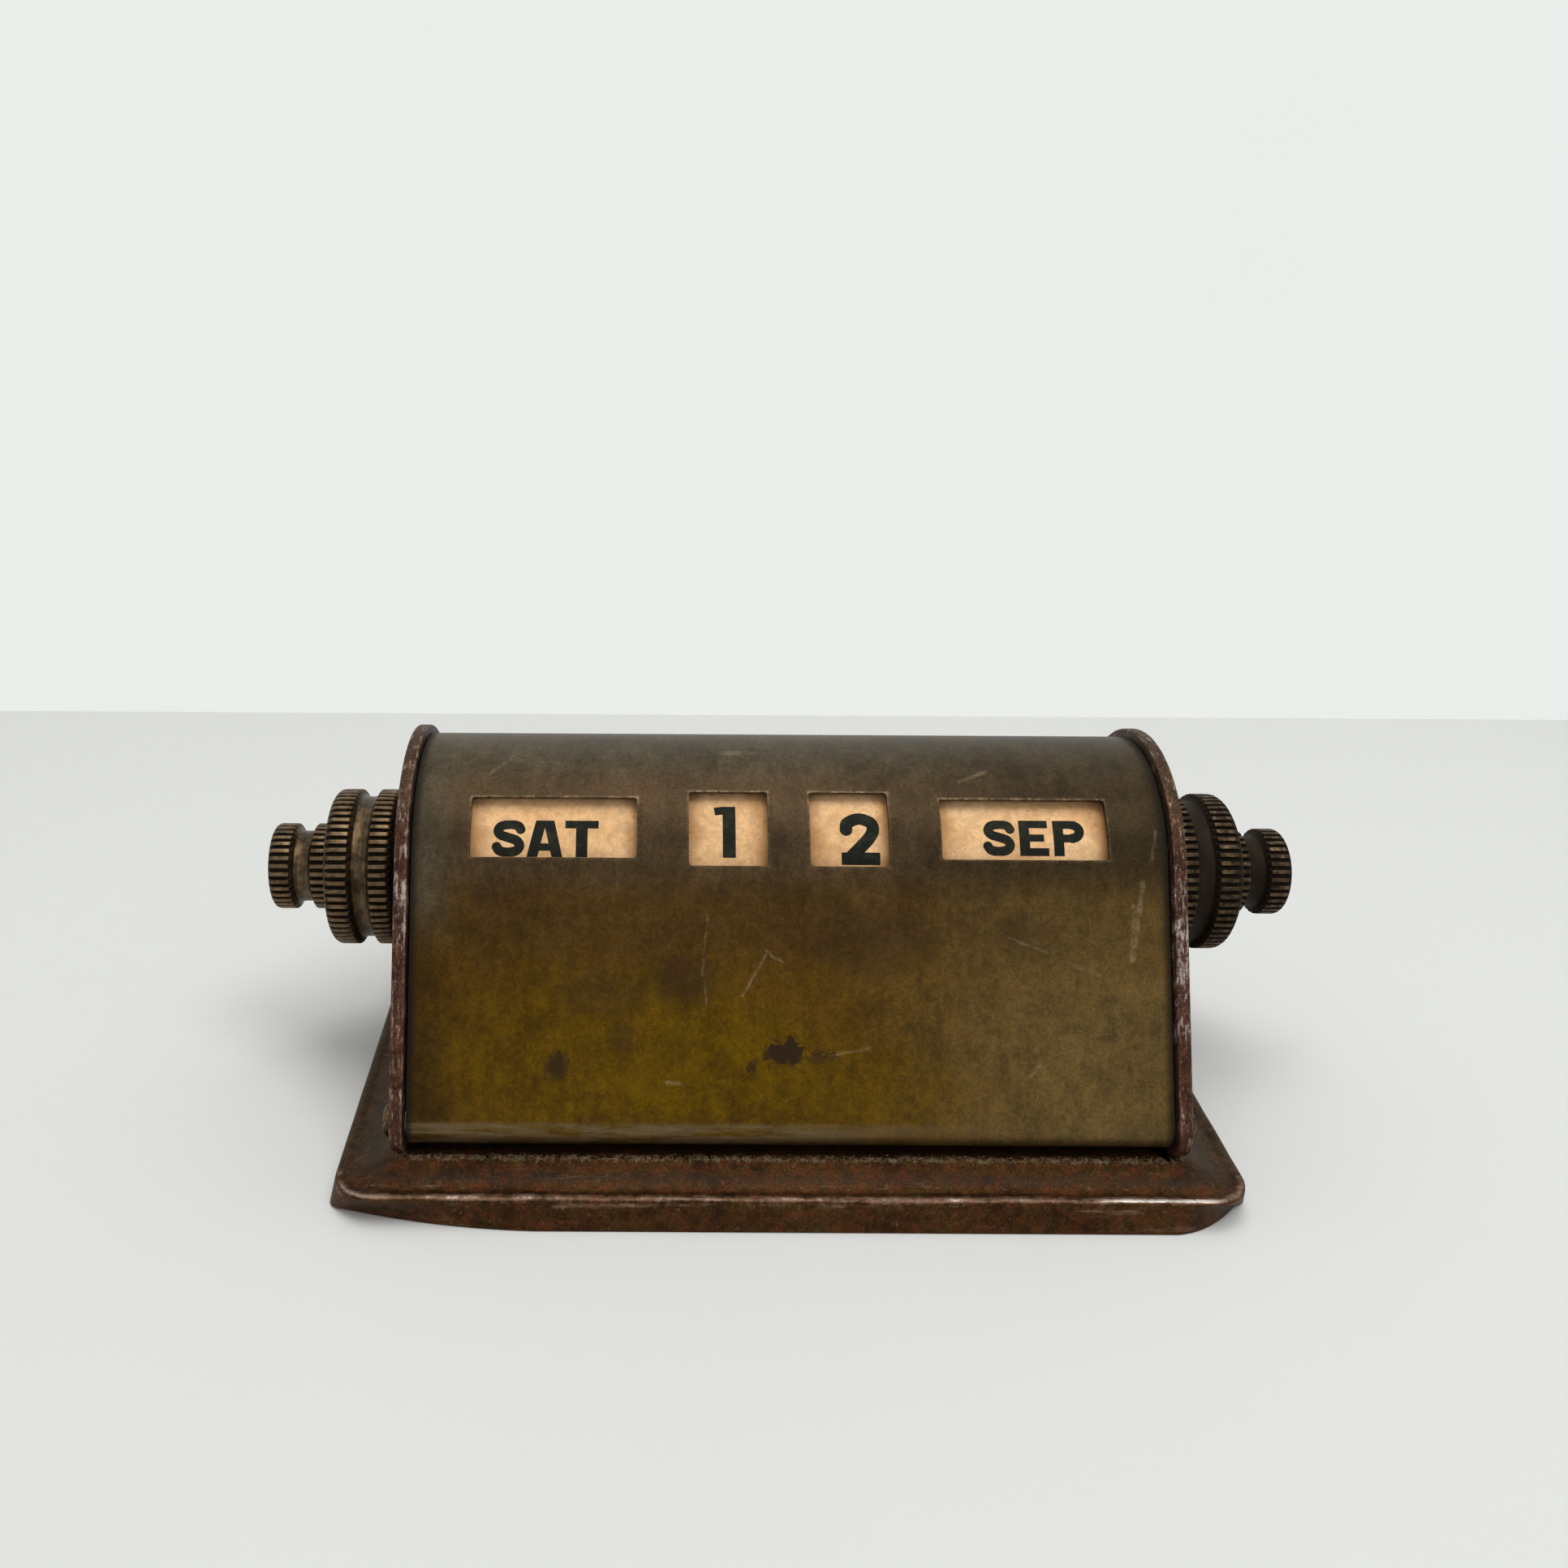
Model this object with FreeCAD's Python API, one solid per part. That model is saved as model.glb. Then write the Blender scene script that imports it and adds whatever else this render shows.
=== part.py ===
"""Perpetual desk calendar: a sloping metal case with four dated rollers and two pairs of knobs.

Frame: millimetres, +X to the right of someone reading the calendar, +Y to the back, +Z up.
The origin is the middle of the base's footprint, on the surface that the calendar stands on.
The four rollers share one axis along X. On each side the large knob turns the wide outer
roller through a hollow sleeve, and the small knob turns the digit roller through a spindle
that runs inside the sleeve to a bracket at the middle of the case.
"""
import FreeCAD
import Part

import math
import os

# Case: two end plates and a bent cover sheet between them
plate_span = 114.0          # across the outer faces of the end plates
plate_thickness = 2.0
plate_radius = 22.7         # round top of the end plates, about the roller axis
plate_nose_radius = 4.0     # rounded lower front corner of an end plate
plate_heel_radius = 2.0     # rounded lower back corner of an end plate
front_slope = 61.0          # degrees from the table to the sloping front
axis_height = 35.0          # roller axis above the table
rim_height = 1.3            # how far an end plate stands proud of the cover
cover_thickness = 0.8
cover_side_gap = 0.3        # between the cover's ends and the end plates
curl_radius = 3.2           # outer radius of the rolled lower edges of the cover
curl_wrap = 200.0           # degrees that a rolled edge goes round its tie bar
curl_floor_gap = 1.25       # dark slot between a rolled edge and the base

# Windows, punched square to the cover
window_elevation = 43.9     # degrees above the horizontal, seen from the roller axis
window_corner_radius = 0.8
wide_window_width = 24.2
wide_window_height = 9.2
wide_window_margin = 8.4    # from a wide window to the cover's end
digit_window_width = 11.5
digit_window_height = 11.3
digit_window_spacing = 6.1  # metal between the two digit windows

# Base casting
front_margin = 5.3          # foot in front of the end plates' noses
back_margin = 6.3           # foot behind the end plates
side_margin = 9.8           # foot outside each end plate
foot_corner_radius = 3.0
left_sweep_run = 30.0       # the foot's front edge sweeps back towards the left corner
left_sweep_setback = 5.2
right_sweep_run = 12.0      # and more quickly towards the right corner
right_sweep_setback = 7.0
dais_height = 7.0           # flat that the case stands on
ridge_drop = 2.0            # the raised line round the base lies this far below the flat
ridge_inset = 1.2           # the outer face leans in from the foot to the ridge
ridge_corner_radius = 6.0
ridge_chamfer = 0.5
channel_depth = 0.4         # shallow hollow just inside the ridge
front_cove_width = 5.1      # from the ridge to the flat, at the front and the back
side_cove_width = 7.6       # the same at the two sides

# Baize pad let into the underside
pad_thickness = 1.0
pad_edge = 1.0              # foot left outside the pad where the front edge sweeps in furthest
pad_corner_radius = 4.0

# Rollers and their paper bands
band_clearance = 1.0        # from a band to the inside of the cover
band_thickness = 0.25
band_margin = 0.5           # drum left bare at each end of its band
glue_gap = 0.03
drum_wall = 0.8
drum_web_thickness = 1.0
drum_gap = 1.0              # between a wide roller and the digit roller beside it
hub_wall = 3.0
wide_hub_length = 9.0
digit_hub_length = 10.0
cap_rebate = 0.1            # the end cap sits this far inside the drum's edge

# Shafts
spindle_radius = 2.0
sleeve_wall = 1.45
running_clearance = 0.05    # radial, where one piece turns in another
press_clearance = 0.02      # radial, where one piece is fixed in another
shaft_end_gap = 0.3         # axial, between neighbouring ends on one axis

# Bearings in the end plates
bush_wall = 1.45
bush_flange_width = 3.5
bush_flange_thickness = 2.2
bush_tail = 0.4             # bush thread left showing past its nut
nut_wall = 2.0              # from the bush thread to a flat of the nut
nut_thickness = 1.6
drag_washer_width = 3.7
drag_washer_thickness = 0.3
drag_washer_dish = 0.8      # how far the dished washer stands up
washer_play = 0.15

# Knobs
knob_play = 0.4             # between a bush and its knob, and between the two knobs of a side
land_width = 2.5            # width of one toothed flange
waist_width = 2.1           # smooth groove between the two toothed flanges
shoulder_width = 0.6        # slope from a flange to the groove
tooth_depth = 0.5
root_step = 0.05            # the metal under the teeth starts this far below their roots
large_knob_radius = 12.33
large_groove_depth = 1.13
large_knob_teeth = 60
large_inner_chamfer = 0.8
large_end_round = 1.2
small_knob_radius = 6.8
small_groove_depth = 1.15
small_knob_teeth = 34
small_inner_chamfer = 0.3
small_end_round = 0.8
knob_cap_wall = 2.0         # metal left over the spindle's end in a small knob

# Brackets that hold the spindles' inner ends
bracket_gap = 1.4           # between the two brackets at the middle of the case
bracket_thickness = 1.2
bracket_eye_wall = 2.45
bracket_foot_length = 11.0
bracket_foot_width = 18.0
bracket_play = 0.4          # from a bracket to its digit roller

# Fasteners
tie_bar_clearance = 0.15    # between a tie bar and the rolled edge round it
tie_screw_radius = 1.25
tie_screw_depth = 6.0
tie_head_radius = 2.4
tie_head_height = 1.4
tie_slot_width = 0.6
tie_slot_depth = 0.7
base_screw_radius = 1.3
base_screw_head_radius = 2.6
base_screw_head_height = 1.5
base_screw_edge = 4.0       # from a foot's end to the middle of its screw
screw_clearance = 0.1       # radial, between a screw and a plain hole
screw_head_gap = 0.5        # between a head and its counterbore
screw_tip = 0.8             # how far a screw stands out above the foot it holds
plate_foot_length = 9.0     # flange bent inwards at the bottom of an end plate
plate_foot_front = 25.0     # from the roller axis forwards
plate_foot_back = 13.0      # from the roller axis backwards
grub_radius = 1.0

# Sizes that follow from the ones above: the case in the side view
slope = math.radians(front_slope)
axis_z = axis_height
nose_z = dais_height + plate_nose_radius
nose_reach = (
    plate_radius - plate_nose_radius - math.cos(slope) * (nose_z - axis_z)
) / math.sin(slope)
front_reach = nose_reach + plate_nose_radius + front_margin
back_reach = plate_radius + back_margin
axis_y = (front_reach - back_reach) / 2
cover_radius = plate_radius - rim_height
curl_centre_z = dais_height + curl_floor_gap + curl_radius
tie_bar_radius = curl_radius - cover_thickness - tie_bar_clearance

# The base in plan and section
foot_half_width = plate_span / 2 + side_margin
ridge_height = dais_height - ridge_drop
pad_margin = pad_edge + max(left_sweep_setback, right_sweep_setback)

# Radii about the roller axis
drum_radius = cover_radius - cover_thickness - band_clearance - band_thickness - glue_gap
sleeve_radius = spindle_radius + running_clearance + sleeve_wall
bush_radius = sleeve_radius + running_clearance + bush_wall
bush_flange_radius = bush_radius + bush_flange_width
nut_across_flats = 2 * (bush_radius + nut_wall)
wide_hub_radius = sleeve_radius + hub_wall
digit_hub_radius = spindle_radius + hub_wall
bracket_eye_radius = spindle_radius + running_clearance + bracket_eye_wall

# Places along the roller axis, on the right side of the case
plate_outer_x = plate_span / 2
plate_inner_x = plate_outer_x - plate_thickness
cover_end_x = plate_inner_x - cover_side_gap
wide_window_x = cover_end_x - wide_window_margin - wide_window_width / 2
digit_window_x = (digit_window_spacing + digit_window_width) / 2
bracket_inner_x = bracket_gap / 2
bracket_outer_x = bracket_inner_x + bracket_thickness
digit_outer_edge = digit_window_x + digit_window_width / 2
wide_inner_edge = wide_window_x - wide_window_width / 2
roller_split_x = (digit_outer_edge + wide_inner_edge) / 2
digit_drum_start_x = bracket_outer_x + bracket_play
digit_drum_end_x = roller_split_x - drum_gap / 2
wide_drum_start_x = roller_split_x + drum_gap / 2
nut_inner_x = plate_inner_x - nut_thickness
bush_start_x = nut_inner_x - bush_tail
bush_end_x = plate_outer_x + bush_flange_thickness
washer_end_x = nut_inner_x - washer_play
washer_start_x = washer_end_x - drag_washer_thickness - drag_washer_dish
wide_drum_end_x = washer_start_x - washer_play
wide_grub_x = wide_drum_end_x - (wide_hub_length + drum_web_thickness) / 2
digit_grub_x = digit_drum_end_x - (digit_hub_length + drum_web_thickness) / 2
knob_body_length = 2 * land_width + 2 * shoulder_width + waist_width
large_knob_start_x = bush_end_x + knob_play
large_knob_end_x = large_knob_start_x + large_inner_chamfer + knob_body_length + large_end_round
small_knob_start_x = large_knob_end_x + knob_play
small_knob_end_x = small_knob_start_x + small_inner_chamfer + knob_body_length + small_end_round
spindle_start_x = shaft_end_gap
spindle_end_x = small_knob_end_x - knob_cap_wall
sleeve_start_x = digit_drum_end_x + shaft_end_gap
sleeve_end_x = large_knob_end_x - shaft_end_gap


def point(x, y, z):
    """A point or direction in the model's frame."""
    return FreeCAD.Vector(x, y, z)


def side_point(centre, radius, degrees):
    """A point in the side view: centre is (y, z) and the angle turns from +Y towards +Z."""
    angle = math.radians(degrees)
    return point(0, centre[0] + radius * math.cos(angle), centre[1] + radius * math.sin(angle))


def side_arc(centre, radius, start, end):
    """An arc in the side view from one angle to another, in degrees."""
    middle = (start + end) / 2
    points = [side_point(centre, radius, angle) for angle in (start, middle, end)]
    return Part.Arc(*points).toShape()


def line(start, end):
    """A straight edge."""
    return Part.LineSegment(start, end).toShape()


def front_line_y(offset, z):
    """Where a line parallel to the sloping front, at an offset from the axis, has height z."""
    return axis_y - (offset - math.cos(slope) * (z - axis_z)) / math.sin(slope)


def slab(edges, start_x, end_x):
    """The outline in the side view made solid between two places along X."""
    face = Part.Face(Part.Wire(edges))
    face.translate(point(start_x, 0, 0))
    return face.extrude(point(end_x - start_x, 0, 0))


def rod(start_x, end_x, radius, centre=None):
    """A round bar along X, on the roller axis unless another centre (y, z) is given."""
    y, z = centre or (axis_y, axis_z)
    return Part.makeCylinder(radius, end_x - start_x, point(start_x, y, z), point(1, 0, 0))


def turned(outline):
    """A solid turned about the roller axis from (x, radius) corners, in order."""
    corners = [point(x, axis_y, axis_z + radius) for x, radius in outline]
    profile = Part.Face(Part.makePolygon(corners + corners[:1]))
    return profile.revolve(point(0, axis_y, axis_z), point(1, 0, 0), 360)


def mirrored(shape):
    """The same piece for the left side of the case."""
    return shape.mirror(point(0, 0, 0), point(1, 0, 0))


def upright_screw(x, y, head_z, tip_z):
    """A screw driven upwards, with its head at the bottom."""
    head = Part.makeCylinder(base_screw_head_radius, base_screw_head_height, point(x, y, head_z))
    shank = Part.makeCylinder(base_screw_radius, tip_z - head_z, point(x, y, head_z))
    return head.fuse(shank).removeSplitter()


def plate_screw_places():
    """Where screws rise into the end plates' feet."""
    x = plate_inner_x - plate_foot_length / 2
    front = axis_y - plate_foot_front + base_screw_edge
    back = axis_y + plate_foot_back - base_screw_edge
    return [(side * x, y) for side in (-1, 1) for y in (front, back)]


def bracket_screw_places():
    """Where screws rise into the middle brackets' feet."""
    x = bracket_inner_x + bracket_thickness / 2 + bracket_foot_length / 2
    offset = bracket_foot_width / 2 - base_screw_edge
    return [(side * x, axis_y + end * offset) for side in (-1, 1) for end in (-1, 1)]


def swept_outline(z, inset, nose_radius, left_sweep, right_sweep):
    """A closed plan outline of the base: each front corner is a sweep and then a nose.

    A sweep is (run, setback): how far along the front it starts and how far back it ends.
    """
    left = -foot_half_width + inset
    right = foot_half_width - inset
    front = axis_y - front_reach + inset
    back = axis_y + back_reach - inset
    left_run, left_setback = left_sweep
    right_run, right_setback = right_sweep
    nose_left = point(left + nose_radius, front + left_setback, z)
    nose_right = point(right - nose_radius, front + right_setback, z)
    start_left = point(left + left_run, front, z)
    start_right = point(right - right_run, front, z)
    diagonal = nose_radius * (1 - math.cos(math.radians(45)))
    side_left = point(left, front + left_setback + nose_radius, z)
    side_right = point(right, front + right_setback + nose_radius, z)
    return Part.Wire([
        line(start_left, start_right),
        sweep_edge(start_right, nose_right),
        corner_edge(nose_right, point(right - diagonal, nose_right.y + diagonal, z), side_right),
        line(side_right, point(right, back - nose_radius, z)),
        corner_edge(
            point(right, back - nose_radius, z),
            point(right - diagonal, back - diagonal, z),
            point(right - nose_radius, back, z),
        ),
        line(point(right - nose_radius, back, z), point(left + nose_radius, back, z)),
        corner_edge(
            point(left + nose_radius, back, z),
            point(left + diagonal, back - diagonal, z),
            point(left, back - nose_radius, z),
        ),
        line(point(left, back - nose_radius, z), side_left),
        corner_edge(side_left, point(left + diagonal, nose_left.y + diagonal, z), nose_left),
        sweep_edge(nose_left, start_left),
    ])


def corner_edge(start, middle, end):
    """A rounded corner through three points."""
    return Part.Arc(start, middle, end).toShape()


def sweep_edge(start, end):
    """The bowed edge of a sweep, or a straight one where it has no setback."""
    rise = end.y - start.y
    if abs(rise) < 0.001:
        return line(start, end)
    run = end.x - start.x
    bow = rise * 0.2
    low = start if rise > 0 else end
    middle = point(start.x + run / 2, (start.y + end.y) / 2 - abs(bow), low.z)
    return Part.Arc(start, middle, end).toShape()


def crowned_profile(front, back, cove_width):
    """The base's section across: ridge, channel, hollow cove and flat, as a closed outline.

    front and back are the two places of the ridge along the section.
    """
    low_z = ridge_height - channel_depth
    rise = dais_height - low_z
    top = point(0, front + cove_width, dais_height)
    foot = point(0, front, low_z)
    sag = rise * 0.72
    middle = point(0, front + cove_width / 2, dais_height - sag)
    far_top = point(0, back - cove_width, dais_height)
    far_foot = point(0, back, low_z)
    far_middle = point(0, back - cove_width / 2, dais_height - sag)
    overhang = cove_width
    return [
        line(point(0, front - overhang, 0), point(0, front - overhang, ridge_height)),
        line(point(0, front - overhang, ridge_height), point(0, front + ridge_chamfer, ridge_height)),
        line(point(0, front + ridge_chamfer, ridge_height), foot + point(0, ridge_inset, 0)),
        Part.Arc(foot + point(0, ridge_inset, 0), middle, top).toShape(),
        line(top, far_top),
        Part.Arc(far_top, far_middle, far_foot - point(0, ridge_inset, 0)).toShape(),
        line(far_foot - point(0, ridge_inset, 0), point(0, back - ridge_chamfer, ridge_height)),
        line(point(0, back - ridge_chamfer, ridge_height), point(0, back + overhang, ridge_height)),
        line(point(0, back + overhang, ridge_height), point(0, back + overhang, 0)),
        line(point(0, back + overhang, 0), point(0, front - overhang, 0)),
    ]


def base_casting():
    """The moulded base: swept foot, ridge, coves, flat top, pad recess and screw holes."""
    left_sweep = (left_sweep_run, left_sweep_setback)
    right_sweep = (right_sweep_run, right_sweep_setback)
    foot = swept_outline(0, 0, foot_corner_radius, left_sweep, right_sweep)
    straight_left = (left_sweep_run, 0)
    straight_right = (right_sweep_run, 0)
    lean = ridge_inset * (ridge_height - ridge_chamfer) / ridge_height
    shoulder = swept_outline(
        ridge_height - ridge_chamfer, lean, ridge_corner_radius, straight_left, straight_right
    )
    ridge = swept_outline(
        ridge_height, ridge_inset + ridge_chamfer, ridge_corner_radius, straight_left, straight_right
    )
    lower = Part.makeLoft([foot, shoulder], True, True)
    middle = Part.makeLoft([shoulder, ridge], True, True)
    upper = Part.Face(ridge).extrude(point(0, 0, dais_height - ridge_height))
    body = lower.fuse([middle, upper])

    inset = ridge_inset + ridge_chamfer
    front = axis_y - front_reach + inset
    back = axis_y + back_reach - inset
    reach = foot_half_width + side_cove_width
    across = slab(crowned_profile(front, back, front_cove_width), -reach, reach)
    side = foot_half_width - inset
    along = slab(crowned_profile(-side, side, side_cove_width), -reach, reach)
    along.rotate(point(0, 0, 0), point(0, 0, 1), -90)
    body = body.common(across).common(along)

    body = body.cut(pad_blank(0))
    holes = []
    sink_depth = pad_thickness + base_screw_head_height + screw_head_gap
    for x, y in plate_screw_places() + bracket_screw_places():
        bottom = point(x, y, 0)
        hole_radius = base_screw_radius + screw_clearance
        holes.append(Part.makeCylinder(hole_radius, dais_height + 1, bottom))
        sink_radius = base_screw_head_radius + screw_head_gap
        holes.append(Part.makeCylinder(sink_radius, sink_depth, bottom))
    return body.cut(holes).removeSplitter()


def pad_blank(clearance):
    """The pad's block, smaller than its recess by the clearance all round."""
    width = 2 * (foot_half_width - pad_margin - clearance)
    depth = front_reach + back_reach - 2 * (pad_margin + clearance)
    block = Part.makeBox(width, depth, pad_thickness, point(-width / 2, -depth / 2, 0))
    corners = [edge for edge in block.Edges if abs(edge.tangentAt(edge.FirstParameter).z) > 0.9]
    return block.makeFillet(pad_corner_radius, corners)


def end_plate():
    """The right end plate: round top, sloping front, rounded corners, bearing hole and foot."""
    axis = (axis_y, axis_z)
    normal = front_slope + 90
    nose = (axis_y - nose_reach, nose_z)
    heel = (axis_y + plate_radius - plate_heel_radius, dais_height + plate_heel_radius)
    edges = [
        side_arc(axis, plate_radius, 0, normal),
        line(side_point(axis, plate_radius, normal), side_point(nose, plate_nose_radius, normal)),
        side_arc(nose, plate_nose_radius, normal, 270),
        line(side_point(nose, plate_nose_radius, 270), side_point(heel, plate_heel_radius, 270)),
        side_arc(heel, plate_heel_radius, -90, 0),
        line(side_point(heel, plate_heel_radius, 0), side_point(axis, plate_radius, 0)),
    ]
    plate = slab(edges, plate_inner_x, plate_outer_x)
    foot = Part.makeBox(
        plate_foot_length,
        plate_foot_front + plate_foot_back,
        plate_thickness,
        point(plate_inner_x - plate_foot_length, axis_y - plate_foot_front, dais_height),
    )
    cuts = [rod(plate_inner_x - 1, plate_outer_x + 1, bush_radius + press_clearance)]
    for centre in tie_bar_centres():
        hole_radius = tie_screw_radius + screw_clearance
        cuts.append(rod(plate_inner_x - 1, plate_outer_x + 1, hole_radius, centre))
    for x, y in plate_screw_places():
        if x > 0:
            radius = base_screw_radius + press_clearance
            cuts.append(Part.makeCylinder(radius, dais_height + plate_thickness, point(x, y, 1)))
    return plate.fuse(foot).cut(cuts).removeSplitter()


def tie_bar_centres():
    """The two tie bars' places (y, z): at the centres of the cover's rolled edges."""
    front = (front_line_y(cover_radius - curl_radius, curl_centre_z), curl_centre_z)
    back = (axis_y + cover_radius - curl_radius, curl_centre_z)
    return front, back


def cover_edges():
    """The cover sheet's closed outline in the side view."""
    axis = (axis_y, axis_z)
    front, back = tie_bar_centres()
    normal = front_slope + 90
    inner_radius = cover_radius - cover_thickness
    inner_curl = curl_radius - cover_thickness
    front_end = normal + curl_wrap
    back_end = -curl_wrap
    return [
        side_arc(front, curl_radius, front_end, normal),
        line(side_point(front, curl_radius, normal), side_point(axis, cover_radius, normal)),
        side_arc(axis, cover_radius, normal, 0),
        line(side_point(axis, cover_radius, 0), side_point(back, curl_radius, 0)),
        side_arc(back, curl_radius, 0, back_end),
        line(side_point(back, curl_radius, back_end), side_point(back, inner_curl, back_end)),
        side_arc(back, inner_curl, back_end, 0),
        line(side_point(back, inner_curl, 0), side_point(axis, inner_radius, 0)),
        side_arc(axis, inner_radius, 0, normal),
        line(side_point(axis, inner_radius, normal), side_point(front, inner_curl, normal)),
        side_arc(front, inner_curl, normal, front_end),
        line(side_point(front, inner_curl, front_end), side_point(front, curl_radius, front_end)),
    ]


def window_punch(centre_x, width, height):
    """A rounded block that punches one window square to the cover."""
    length = plate_radius
    block = Part.makeBox(width, length, height, point(-width / 2, -length, -height / 2))
    corners = [edge for edge in block.Edges if abs(edge.tangentAt(edge.FirstParameter).y) > 0.9]
    block = block.makeFillet(window_corner_radius, corners)
    block.translate(point(0, -cover_radius / 2, 0))
    block.rotate(point(0, 0, 0), point(1, 0, 0), -window_elevation)
    block.translate(point(centre_x, axis_y, axis_z))
    return block


def cover_shell():
    """The bent cover sheet with its four windows and rolled lower edges."""
    sheet = slab(cover_edges(), -cover_end_x, cover_end_x)
    punches = []
    for side in (-1, 1):
        punches.append(window_punch(side * wide_window_x, wide_window_width, wide_window_height))
        punches.append(window_punch(side * digit_window_x, digit_window_width, digit_window_height))
    return sheet.cut(punches)


def tie_bar(centre):
    """A bar between the end plates, tapped at both ends, that a rolled edge goes round."""
    bar = rod(-plate_inner_x, plate_inner_x, tie_bar_radius, centre)
    hole_radius = tie_screw_radius + press_clearance
    ends = [
        rod(plate_inner_x - tie_screw_depth, plate_inner_x, hole_radius, centre),
        rod(-plate_inner_x, tie_screw_depth - plate_inner_x, hole_radius, centre),
    ]
    return bar.cut(ends)


def tie_screws():
    """The four slotted screws that hold the tie bars, two on each end plate."""
    screws = []
    tip_x = plate_inner_x - tie_screw_depth + shaft_end_gap
    for centre in tie_bar_centres():
        head = rod(plate_outer_x, plate_outer_x + tie_head_height, tie_head_radius, centre)
        slot = Part.makeBox(tie_slot_depth, 2 * tie_head_radius, tie_slot_width)
        slot.translate(point(
            plate_outer_x + tie_head_height - tie_slot_depth,
            centre[0] - tie_head_radius,
            centre[1] - tie_slot_width / 2,
        ))
        screw = head.cut(slot).fuse(rod(tip_x, plate_outer_x, tie_screw_radius, centre))
        screws.append(screw.removeSplitter())
    return Part.makeCompound(screws + [mirrored(screw) for screw in screws])


def base_screws():
    """The eight screws that hold the plates' feet and the middle brackets to the base."""
    head_z = pad_thickness + screw_head_gap
    screws = []
    for x, y in plate_screw_places():
        screws.append(upright_screw(x, y, head_z, dais_height + plate_thickness + screw_tip))
    for x, y in bracket_screw_places():
        screws.append(upright_screw(x, y, head_z, dais_height + bracket_thickness + screw_tip))
    return Part.makeCompound(screws)


def middle_bracket():
    """The right middle bracket: a foot on the base and an upright with the spindle's eye."""
    half = bracket_foot_width / 2
    flank = math.atan2(half - bracket_eye_radius, axis_z - dais_height)
    reach = bracket_eye_radius * math.cos(flank)
    drop = bracket_eye_radius * math.sin(flank)
    top = point(0, axis_y, axis_z + bracket_eye_radius)
    right = point(0, axis_y + reach, axis_z + drop)
    left = point(0, axis_y - reach, axis_z + drop)
    edges = [
        line(point(0, axis_y - half, dais_height), point(0, axis_y + half, dais_height)),
        line(point(0, axis_y + half, dais_height), right),
        Part.Arc(right, top, left).toShape(),
        line(left, point(0, axis_y - half, dais_height)),
    ]
    upright = slab(edges, bracket_inner_x, bracket_outer_x)
    foot = Part.makeBox(
        bracket_foot_length,
        bracket_foot_width,
        bracket_thickness,
        point(bracket_inner_x, axis_y - half, dais_height),
    )
    cuts = [rod(0, bracket_outer_x + 1, spindle_radius + running_clearance)]
    for x, y in bracket_screw_places():
        if x > 0:
            radius = base_screw_radius + press_clearance
            cuts.append(Part.makeCylinder(radius, dais_height + bracket_thickness, point(x, y, 1)))
    return upright.fuse(foot).cut(cuts).removeSplitter()


def bush():
    """The right bearing bush: a threaded barrel through the end plate with a flange outside."""
    barrel = rod(bush_start_x, bush_end_x, bush_radius)
    flange = rod(plate_outer_x, bush_end_x, bush_flange_radius)
    bore = rod(bush_start_x - 1, bush_end_x + 1, sleeve_radius + running_clearance)
    return barrel.fuse(flange).cut(bore).removeSplitter()


def bush_nut():
    """The thin hexagon nut that clamps the bush from inside the end plate."""
    corner = nut_across_flats / 2 / math.cos(math.radians(30))
    corners = [side_point((axis_y, axis_z), corner, 60 * turn) for turn in range(7)]
    edges = [line(start, end) for start, end in zip(corners, corners[1:])]
    blank = slab(edges, nut_inner_x, plate_inner_x)
    return blank.cut(rod(nut_inner_x - 1, plate_inner_x + 1, bush_radius + press_clearance))


def drag_washer():
    """The dished spring washer that keeps the wide roller from turning by itself."""
    inner = bush_radius + 2 * washer_play
    outer = inner + drag_washer_width
    start = washer_start_x
    crown = washer_start_x + drag_washer_dish
    return turned([
        (start, outer),
        (start + drag_washer_thickness, outer),
        (crown + drag_washer_thickness, inner),
        (crown, inner),
    ])


def sleeve():
    """The right hollow shaft between the large knob and the wide roller."""
    bore = spindle_radius + running_clearance
    return rod(sleeve_start_x, sleeve_end_x, sleeve_radius).cut(
        rod(sleeve_start_x - 1, sleeve_end_x + 1, bore)
    )


def spindle():
    """The right inner shaft, from the middle bracket to the small knob, with a chamfered tip."""
    tip = spindle_radius / 4
    return turned([
        (spindle_start_x, 0),
        (spindle_start_x, spindle_radius - tip),
        (spindle_start_x + tip, spindle_radius),
        (spindle_end_x, spindle_radius),
        (spindle_end_x, 0),
    ])


def tooth_outline(x, radius, teeth):
    """The closed outline of pointed teeth, as a straight knurl cuts them, at one place along X."""
    root = radius - tooth_depth
    corners = []
    for step in range(2 * teeth):
        corner = side_point((axis_y, axis_z), root if step % 2 else radius, 180 * step / teeth)
        corners.append(corner + point(x, 0, 0))
    return Part.makePolygon(corners + corners[:1])


def toothed_flange(stations, teeth):
    """A toothed flange through (x, radius) stations, with straight teeth between them."""
    outlines = [tooth_outline(x, radius, teeth) for x, radius in stations]
    return Part.makeLoft(outlines, True, True)


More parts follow.
